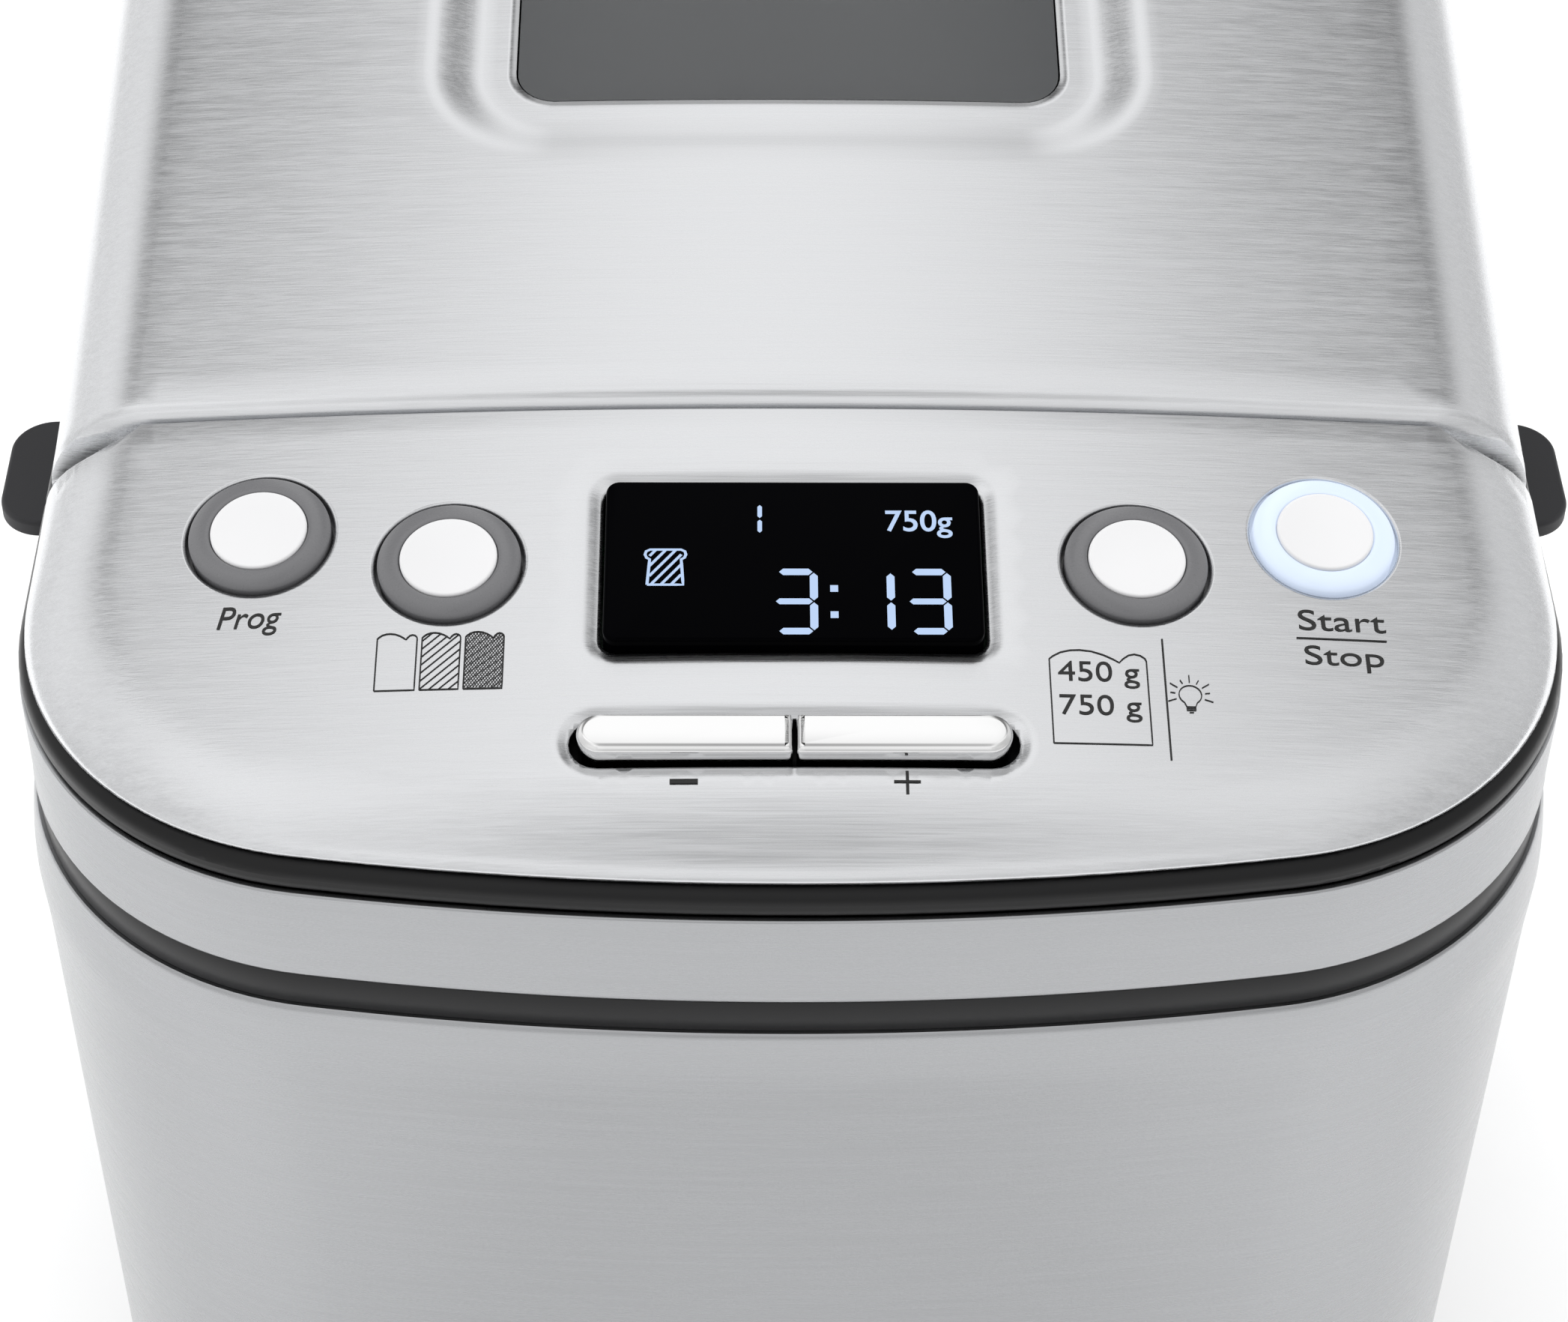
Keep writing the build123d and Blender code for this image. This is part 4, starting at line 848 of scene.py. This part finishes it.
def drawn(name, strokes, surface, material, width):
    """Lines of one width along plan paths, laid on a surface."""
    verts, edges = [], []
    for path in strokes:
        stroke = densify(path, 0.8, closed=False)
        base = len(verts)
        verts += [surface(x, y) * MM for x, y in stroke]
        edges += [(base + k, base + k + 1) for k in range(len(stroke) - 1)]
    mesh = bpy.data.meshes.new(name)
    mesh.from_pydata(verts, edges, [])
    obj = link(bpy.data.objects.new(name, mesh))
    return grown(obj, DRAWN_LINES, width=width * MM, thickness=0.03 * MM, material=material)


def lettering(name, text, box, surface, material, lean=0.0, weight=0.0):
    """A word fitted to a plan box and laid on a surface."""
    curve = bpy.data.curves.new(name, "FONT")
    curve.body = text
    curve.shear = lean
    curve.offset = weight
    curve.resolution_u = 6
    source = link(bpy.data.objects.new(name + "_curve", curve))
    bpy.context.view_layer.update()
    mesh = bpy.data.meshes.new_from_object(source.evaluated_get(bpy.context.evaluated_depsgraph_get()))
    bpy.data.objects.remove(source)
    xs, ys = [v.co.x for v in mesh.vertices], [v.co.y for v in mesh.vertices]
    x0, x1, y0, y1 = box
    for v in mesh.vertices:
        x = x0 + (v.co.x - min(xs)) / (max(xs) - min(xs)) * (x1 - x0)
        y = y0 + (v.co.y - min(ys)) / (max(ys) - min(ys)) * (y1 - y0)
        v.co = surface(x, y) * MM
    with editing(mesh) as work:
        bmesh.ops.remove_doubles(work, verts=work.verts, dist=1e-7)
        for face in work.faces:
            face.normal_update()
            if face.normal.z < 0:
                face.normal_flip()
    mesh.materials.clear()
    mesh.materials.append(material)
    return link(bpy.data.objects.new(name, mesh))


def joined(name, objects):
    """One mesh out of several that share a place."""
    work = bmesh.new()
    slots = []
    for obj in objects:
        before = len(work.faces)
        work.from_mesh(obj.data)
        work.faces.ensure_lookup_table()
        material = obj.data.materials[0]
        if material not in slots:
            slots.append(material)
        for face in work.faces[before:]:
            face.material_index = slots.index(material)
    mesh = bpy.data.meshes.new(name)
    work.to_mesh(mesh)
    work.free()
    for material in slots:
        mesh.materials.append(material)
    for obj in objects:
        bpy.data.objects.remove(obj)
    return link(bpy.data.objects.new(name, mesh))


def bread_top(x0, x1, y, wave):
    """The risen top of a loaf in outline: one broad rise, a notch and a small one beside it."""
    return [(x0 + (x1 - x0) * t, y - wave * drop) for t, drop in (
        (0.0, 0.8), (0.04, 0.55), (0.12, 0.22), (0.22, 0.04), (0.32, 0.0), (0.44, 0.1), (0.56, 0.38), (0.65, 0.7),
        (0.72, 1.0), (0.76, 0.68), (0.82, 0.36), (0.88, 0.26), (0.94, 0.36), (0.985, 0.6), (1.0, 0.85))]


def hatch(x0, x1, y0, y1, top, gap, rise):
    """Slanting strokes that fill a loaf outline; rise is their slope, negative for down to the right."""
    strokes = []
    width, steps = x1 - x0, 48
    start = y0 - width * abs(rise)
    while start < y1:
        ends = []
        for k in range(steps + 1):
            x = x0 + width * k / steps
            y = start + abs(rise) * (x - x0 if rise > 0 else x1 - x)
            if y0 <= y <= interpolate(top, x):
                ends.append((x, y))
        if len(ends) > 1:
            strokes.append([ends[0], ends[-1]])
        start += gap
    return strokes


def interpolate(points, x):
    for (xa, ya), (xb, yb) in zip(points, points[1:]):
        if xa <= x <= xb:
            return ya + (yb - ya) * (x - xa) / max(xb - xa, 1e-6)
    return points[-1][1]


def make_display():
    loop = loop_points(*DISPLAY_HALF, 1.9, 0, 0, 0, 0.35)
    lens = slab("display_lens_cover", loop, -3.0, DISPLAY_PROUD, 0.5, LENS_BLACK, LENS_FRAME, 40, 5)
    place(lens, "housing", "display_lens")

    def bar(xa, ya, xb, yb, half):
        """One segment: a bar with pointed ends."""
        d = (Vector((xb, yb)) - Vector((xa, ya))).normalized()
        n = Vector((-d.y, d.x)) * half
        a, b = Vector((xa, ya)), Vector((xb, yb))
        return [tuple(p) for p in (a, a + d * half - n, b - d * half - n, b, b - d * half + n, a + d * half + n)]

    def three(x0, x1, y0, y1, half):
        middle, gap = (y0 + y1) / 2, 0.16
        left, right = x0 + half, x1 - half
        top, low = y1 - half, y0 + half
        return [bar(left + gap, top, right - gap, top, half), bar(left + gap, low, right - gap, low, half),
                bar(left - 0.3, middle, right - gap, middle, half * 0.9),
                bar(right, top - gap, right, middle + gap, half), bar(right, middle - gap, right, low + gap, half)]

    shapes = three(-2.7, 3.4, -136.6, -125.3, 0.56) + three(15.8, 21.9, -136.6, -125.3, 0.56)
    shapes += [bar(13.5, -126.1, 13.5, -130.8, 0.56), bar(13.5, -131.1, 13.5, -135.8, 0.56)]
    shapes += [[(5.1, y), (6.2, y), (6.2, y + 1.15), (5.1, y + 1.15)] for y in (-129.3, -133.8)]
    shapes += [bar(-4.65, -114.1, -4.65, -116.4, 0.32), bar(-4.65, -116.7, -4.65, -119.0, 0.32)]
    digits = filled("display_digits", shapes, on_lens, SEGMENT_GLOW)
    weight = lettering("display_weight", "750g", (13.0, 22.4, -119.9, -115.0), on_lens, SEGMENT_GLOW, 0, 0.012)
    x0, x1, y0, y1 = -20.3, -15.3, -128.1, -122.0
    crust = [(x0, y0), (x0 + 0.3, y1 - 1.7), (x0 - 0.15, y1 - 1.4), (x0 - 0.35, y1 - 0.85), (x0 - 0.2, y1 - 0.3),
             (x0 + 0.35, y1), (x1 - 0.35, y1), (x1 + 0.2, y1 - 0.3), (x1 + 0.35, y1 - 0.85), (x1 + 0.15, y1 - 1.4),
             (x1 - 0.3, y1 - 1.7), (x1, y0), (x0, y0)]
    toast = drawn("display_slice", [crust], on_lens, SEGMENT_GLOW, 0.42)
    inner = [(x0 + 0.3, y1), (x1 - 0.3, y1)]
    lines = drawn("display_slice_lines", hatch(x0 + 0.3, x1 - 0.3, y0, y1, inner, 1.75, 1.25), on_lens, SEGMENT_GLOW, 0.42)
    lit = joined("display_figures", [digits, weight, toast, lines])
    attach(lit, "housing")


def make_round_buttons():
    for name, (x, y) in ROUND_BUTTONS.items():
        frame_here = cover_matrix(x, y)
        inner = CAP_R + 0.1
        dome = [(inner + (RING_R - inner) * math.sin(a), 0.2 + 1.1 * math.cos(a))
                for a in [math.pi / 2 * k / 10 for k in range(11)]]
        profile = [(0.0, -0.75), (inner, -0.75), (inner, 1.05), (inner + 0.12, 1.24)]
        profile += [(inner + 0.3 + (r - inner) * (RING_R - inner - 0.3) / (RING_R - inner), z) for r, z in dome]
        profile += [(RING_R, -2.4), (RING_R + 1.4, -2.4), (RING_R + 1.4, -3.6), (0.0, -3.6)]
        lit = name == "start"
        ring = turned(name + "_ring_lens", profile, RING_LIT if lit else RING_GREY, frame_here, 96)
        place(ring, name + "_button", name + "_button_ring")
        edge = [(CAP_R - 0.35 * (1 - math.sin(a)), 1.2 + 0.35 * math.cos(a)) for a in [math.pi / 2 * k / 4 for k in range(5)]]
        top = [(0.0, 1.44), (2.5, 1.46), (4.6, 1.5), (CAP_R - 0.5, 1.55)]
        cap = turned(name + "_cap_disc", top + edge + [(CAP_R, -0.6), (0.0, -0.6)], CAP_WHITE, frame_here, 96)
        place(cap, name + "_button", name + "_button_cap")


def make_keys():
    length, depth = KEY_SIZE
    half = depth / 2
    for side, node, body in ((-1, "key_minus", "minus_key"), (1, "key_plus", "plus_key")):
        inner, outer = KEY_GAP / 2, KEY_GAP / 2 + length
        loop = [(inner + 0.45, -half)]
        loop += [(outer - half + half * math.sin(a), -half * math.cos(a)) for a in [math.pi * k / 24 for k in range(25)]]
        loop += [(inner + 0.45, half), (inner + 0.13, half - 0.13), (inner, half - 0.45), (inner, -half + 0.45),
                 (inner + 0.13, -half + 0.13)]
        if side < 0:
            loop = [(-x, y) for x, y in reversed(loop)]
        bar = slab(node + "_bar", densify(loop, 0.8), -3.4, KEY_PROUD, 1.1, KEY_CHROME, cover_matrix(0, KEY_Y), 50, 7)
        place(bar, body, node)


# ---- printed marks ------------
def make_printed_marks():
    marks = [
        lettering("mark_prog", "Prog", (-79.9, -71.0, -133.7, -128.7), on_skin, INK, 0.22, 0.0),
        lettering("mark_start", "Start", (70.2, 82.4, -132.7, -129.2), on_skin, INK),
        lettering("mark_stop", "Stop", (70.6, 81.6, -139.6, -135.3), on_skin, INK),
        lettering("mark_450", "450 g", (36.2, 47.4, -143.6, -139.2), on_skin, INK),
        lettering("mark_750", "750 g", (36.2, 47.4, -149.2, -144.8), on_skin, INK),
        drawn("mark_rule", [[(69.7, -134.1), (76, -134.1), (82.3, -134.1)]], on_skin, INK, 0.28),
        drawn("mark_divider", [[(50.9, -135.1), (50.9, -145), (50.9, -155.3)]], on_skin, INK, 0.26),
        drawn("mark_minus", [[(-16.8, -159.5), (-13.0, -159.5)]], on_skin, INK, 0.85),
        drawn("mark_plus", [[(13.3, -159.5), (16.9, -159.5)], [(15.1, -161.4), (15.1, -157.6)]], on_skin, INK, 0.42),
    ]
    outlines, slanted, crossed = [], [], []
    for index, (x0, x1) in enumerate(((-57.4, -51.9), (-51.2, -45.9), (-45.2, -39.9))):
        y0, y1 = -143.8, -134.2
        top = bread_top(x0, x1, y1, 1.05)
        outlines.append([(x0, y0)] + top + [(x1, y0), (x0, y0)])
        if index == 1:
            slanted += hatch(x0, x1, y0, y1, top, 1.35, 1.0)
        if index == 2:
            crossed += hatch(x0, x1, y0, y1, top, 0.62, 1.5) + hatch(x0, x1, y0, y1, top, 0.7, -1.7)
            crossed += hatch(x0, x1, y0, y1, top, 1.3, 0.8)
    x0, x1, y0, y1 = 35.1, 48.5, -152.9, -137.3
    outlines.append([(x0, y0)] + bread_top(x0, x1, y1, 2.0) + [(x1, y0), (x0, y0)])
    marks.append(drawn("mark_outlines", outlines, on_skin, INK, 0.2))
    marks.append(drawn("mark_slanted", slanted, on_skin, INK, 0.15))
    marks.append(drawn("mark_crossed", crossed, on_skin, INK, 0.07))
    cx, cy, r = 54.2, -144.4, 1.55
    bulb = [(cx + r * math.sin(math.radians(a)), cy + r * math.cos(math.radians(a))) for a in range(-145, 146, 10)]
    neck = [[bulb[0], (cx - 0.6, cy - 2.0), (cx - 0.6, cy - 2.6), (cx + 0.6, cy - 2.6), (cx + 0.6, cy - 2.0), bulb[-1]]]
    neck += [[(cx - 0.6, cy - y), (cx + 0.6, cy - y)] for y in (2.0, 2.3)] + [[(cx - 0.3, cy - 2.95), (cx + 0.3, cy - 2.95)]]
    rays = []
    for k in range(9):
        a = math.radians(-110 + 27.5 * k)
        near, far = r + 0.5, r + (1.75 if k % 2 == 0 else 1.2)
        rays.append([(cx + near * math.sin(a), cy + near * math.cos(a)), (cx + far * math.sin(a), cy + far * math.cos(a))])
    marks.append(drawn("mark_lamp", [bulb] + neck + rays, on_skin, INK, 0.15))
    printed = joined("printed_marks", marks)
    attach(printed, "housing")


make_control_cover()
make_lid_skin()
make_body_shell()
make_upper_band()
make_lower_band()
make_display()
make_round_buttons()
make_keys()
make_printed_marks()

# ---- carried-over pieces ------------
FINISHES = {
    TRIM_BLACK: ("front_trim", "lid_trim"),
    GRIP_BLACK: ("side_grip_left", "side_grip_right"),
    BASE_BLACK: ("base_plate", "cord_gland", "button_carrier", "lcd_module", "hinge_knuckles", "hinge_brackets",
                 "tact_switches", "motor_pulley", "drive_pulley", "lid_liner"),
    RUBBER: ("rubber_feet", "drive_belt"),
    BOARD_GREEN: ("control_board", "power_board"),
    WIRE_CHROME: ("m3_screws", "hinge_pins", "base_screws", "lid_screws", "pan_bail"),
    STEEL_INNER: ("chamber_liner", "top_deck", "drive_chassis", "pan_seat", "motor_case", "drive_bearing"),
    STEEL_TURNED: ("drive_shaft", "motor_rotor", "pan_shaft"),
    SILICONE: ("chamber_gasket", "window_gasket"),
    PAN_COAT: ("bread_pan", "pan_base", "kneading_paddle"),
    HEATER_DARK: ("heater_element", "temperature_sensor"),
    BRONZE: ("pan_bush",),
    WINDOW_SMOKE: ("window_glass", "inner_window"),
    LAMP_CLEAR: ("chamber_lamp",),
}
for finish, names in FINISHES.items():
    for node in names:
        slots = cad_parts[node].data.materials
        slots.clear()
        slots.append(finish)


# ---- floor, light and camera ------------
def make_floor():
    mat, tree = new_material("pale_studio_paper")
    paper = tinted(tree, "F6F6F6", ramp(tree, cloudy(tree, 25, 2.0), 0, 1, 0.99, 1.01))
    shader = add(tree, "ShaderNodeBsdfPrincipled", {"Base Color": paper, "Roughness": 0.9})
    close_material(mat, tree, shader)
    size = 3500
    floor = mesh_object("studio_floor", [(-size, -size, 0), (size, -size, 0), (size, size, 0), (-size, size, 0)],
                        [(0, 1, 2, 3)], mat, flip=False)


def make_light(name, at, aim, size, power, colour="FFFFFF"):
    data = bpy.data.lights.new(name, "AREA")
    data.shape = "RECTANGLE"
    data.size, data.size_y = size
    data.energy = power
    data.color = hex_colour(colour)[:3]
    lamp = link(bpy.data.objects.new(name, data))
    lamp.location = at
    lamp.visible_glossy = False
    lamp.rotation_euler = (Vector(aim) - Vector(at)).to_track_quat("-Z", "Y").to_euler()
    return lamp


def make_world():
    """Soft boxes of light: a bright panel above and behind, a weaker one in front,
    and dark strips between and beside them. The ramps were set by trial."""
    world = bpy.data.worlds.new("studio")
    bpy.context.scene.world = world
    world.use_nodes = True
    tree = world.node_tree
    tree.nodes.clear()
    look = add(tree, "ShaderNodeTexCoord").outputs["Generated"]
    x, y, z = add(tree, "ShaderNodeSeparateXYZ", {0: look}).outputs
    side = add(tree, "ShaderNodeMath", {0: x}, operation="ABSOLUTE").outputs[0]
    panel_half = ramp(tree, z, 0.8, 0.86, 0.22, 0.6, soft=True)
    panel = ramp(tree, calc(tree, "DIVIDE", side, panel_half), 0.15, 1.05, 1.12, 0.26, soft=True)
    beside = calc(tree, "ADD", side, ramp(tree, y, 0.45, 0.15, 0.0, 0.35, soft=True))
    flank = ramp(tree, beside, 0.32, 0.62, 0.0, 0.78, soft=True)
    right = ramp(tree, x, 0.05, 0.4, 1.0, 0.8, soft=True)
    high = ramp(tree, z, 0.1, 0.62, 0.75, 1.16, soft=True)
    rear = ramp(tree, y, 0.0, 0.44, 0.34, 1.0, soft=True)
    front = ramp(tree, y, -0.3, -0.6, 0.0, 0.42, soft=True)
    level = calc(tree, "MULTIPLY", calc(tree, "MULTIPLY", panel, high), calc(tree, "ADD", rear, front))
    whole = calc(tree, "MULTIPLY", calc(tree, "ADD", level, flank), right)
    back = add(tree, "ShaderNodeBackground", {"Color": (1, 1, 1, 1), "Strength": whole})
    add(tree, "ShaderNodeOutputWorld", {"Surface": back.outputs[0]})


def make_camera():
    data = bpy.data.cameras.new("product_camera")
    data.lens = 88.73
    data.sensor_width = 36
    data.sensor_fit = "HORIZONTAL"
    data.clip_start, data.clip_end = 0.05, 20
    camera = link(bpy.data.objects.new("product_camera", data))
    camera.matrix_world = (Matrix.Translation((-0.00705, -0.52285, 0.61866))
                           @ Matrix.Rotation(math.radians(-0.852), 4, "Z")
                           @ Matrix.Rotation(math.pi / 2 - math.radians(43.699), 4, "X")
                           @ Matrix.Rotation(math.radians(0.652), 4, "Z"))
    bpy.context.scene.camera = camera


make_floor()
make_world()
make_light("rear_key", (0, 1.5, 1.9), (0, 0.0, 0.1), (1.0, 0.6), 22)
make_light("left_fill", (-1.3, 0.0, 0.9), (-0.42, -0.05, 0), (0.5, 1.4), 9)
make_light("right_fill", (1.3, 0.0, 0.9), (0.42, -0.05, 0), (0.5, 1.4), 9)
make_camera()
bpy.context.scene.view_settings.view_transform = "Standard"
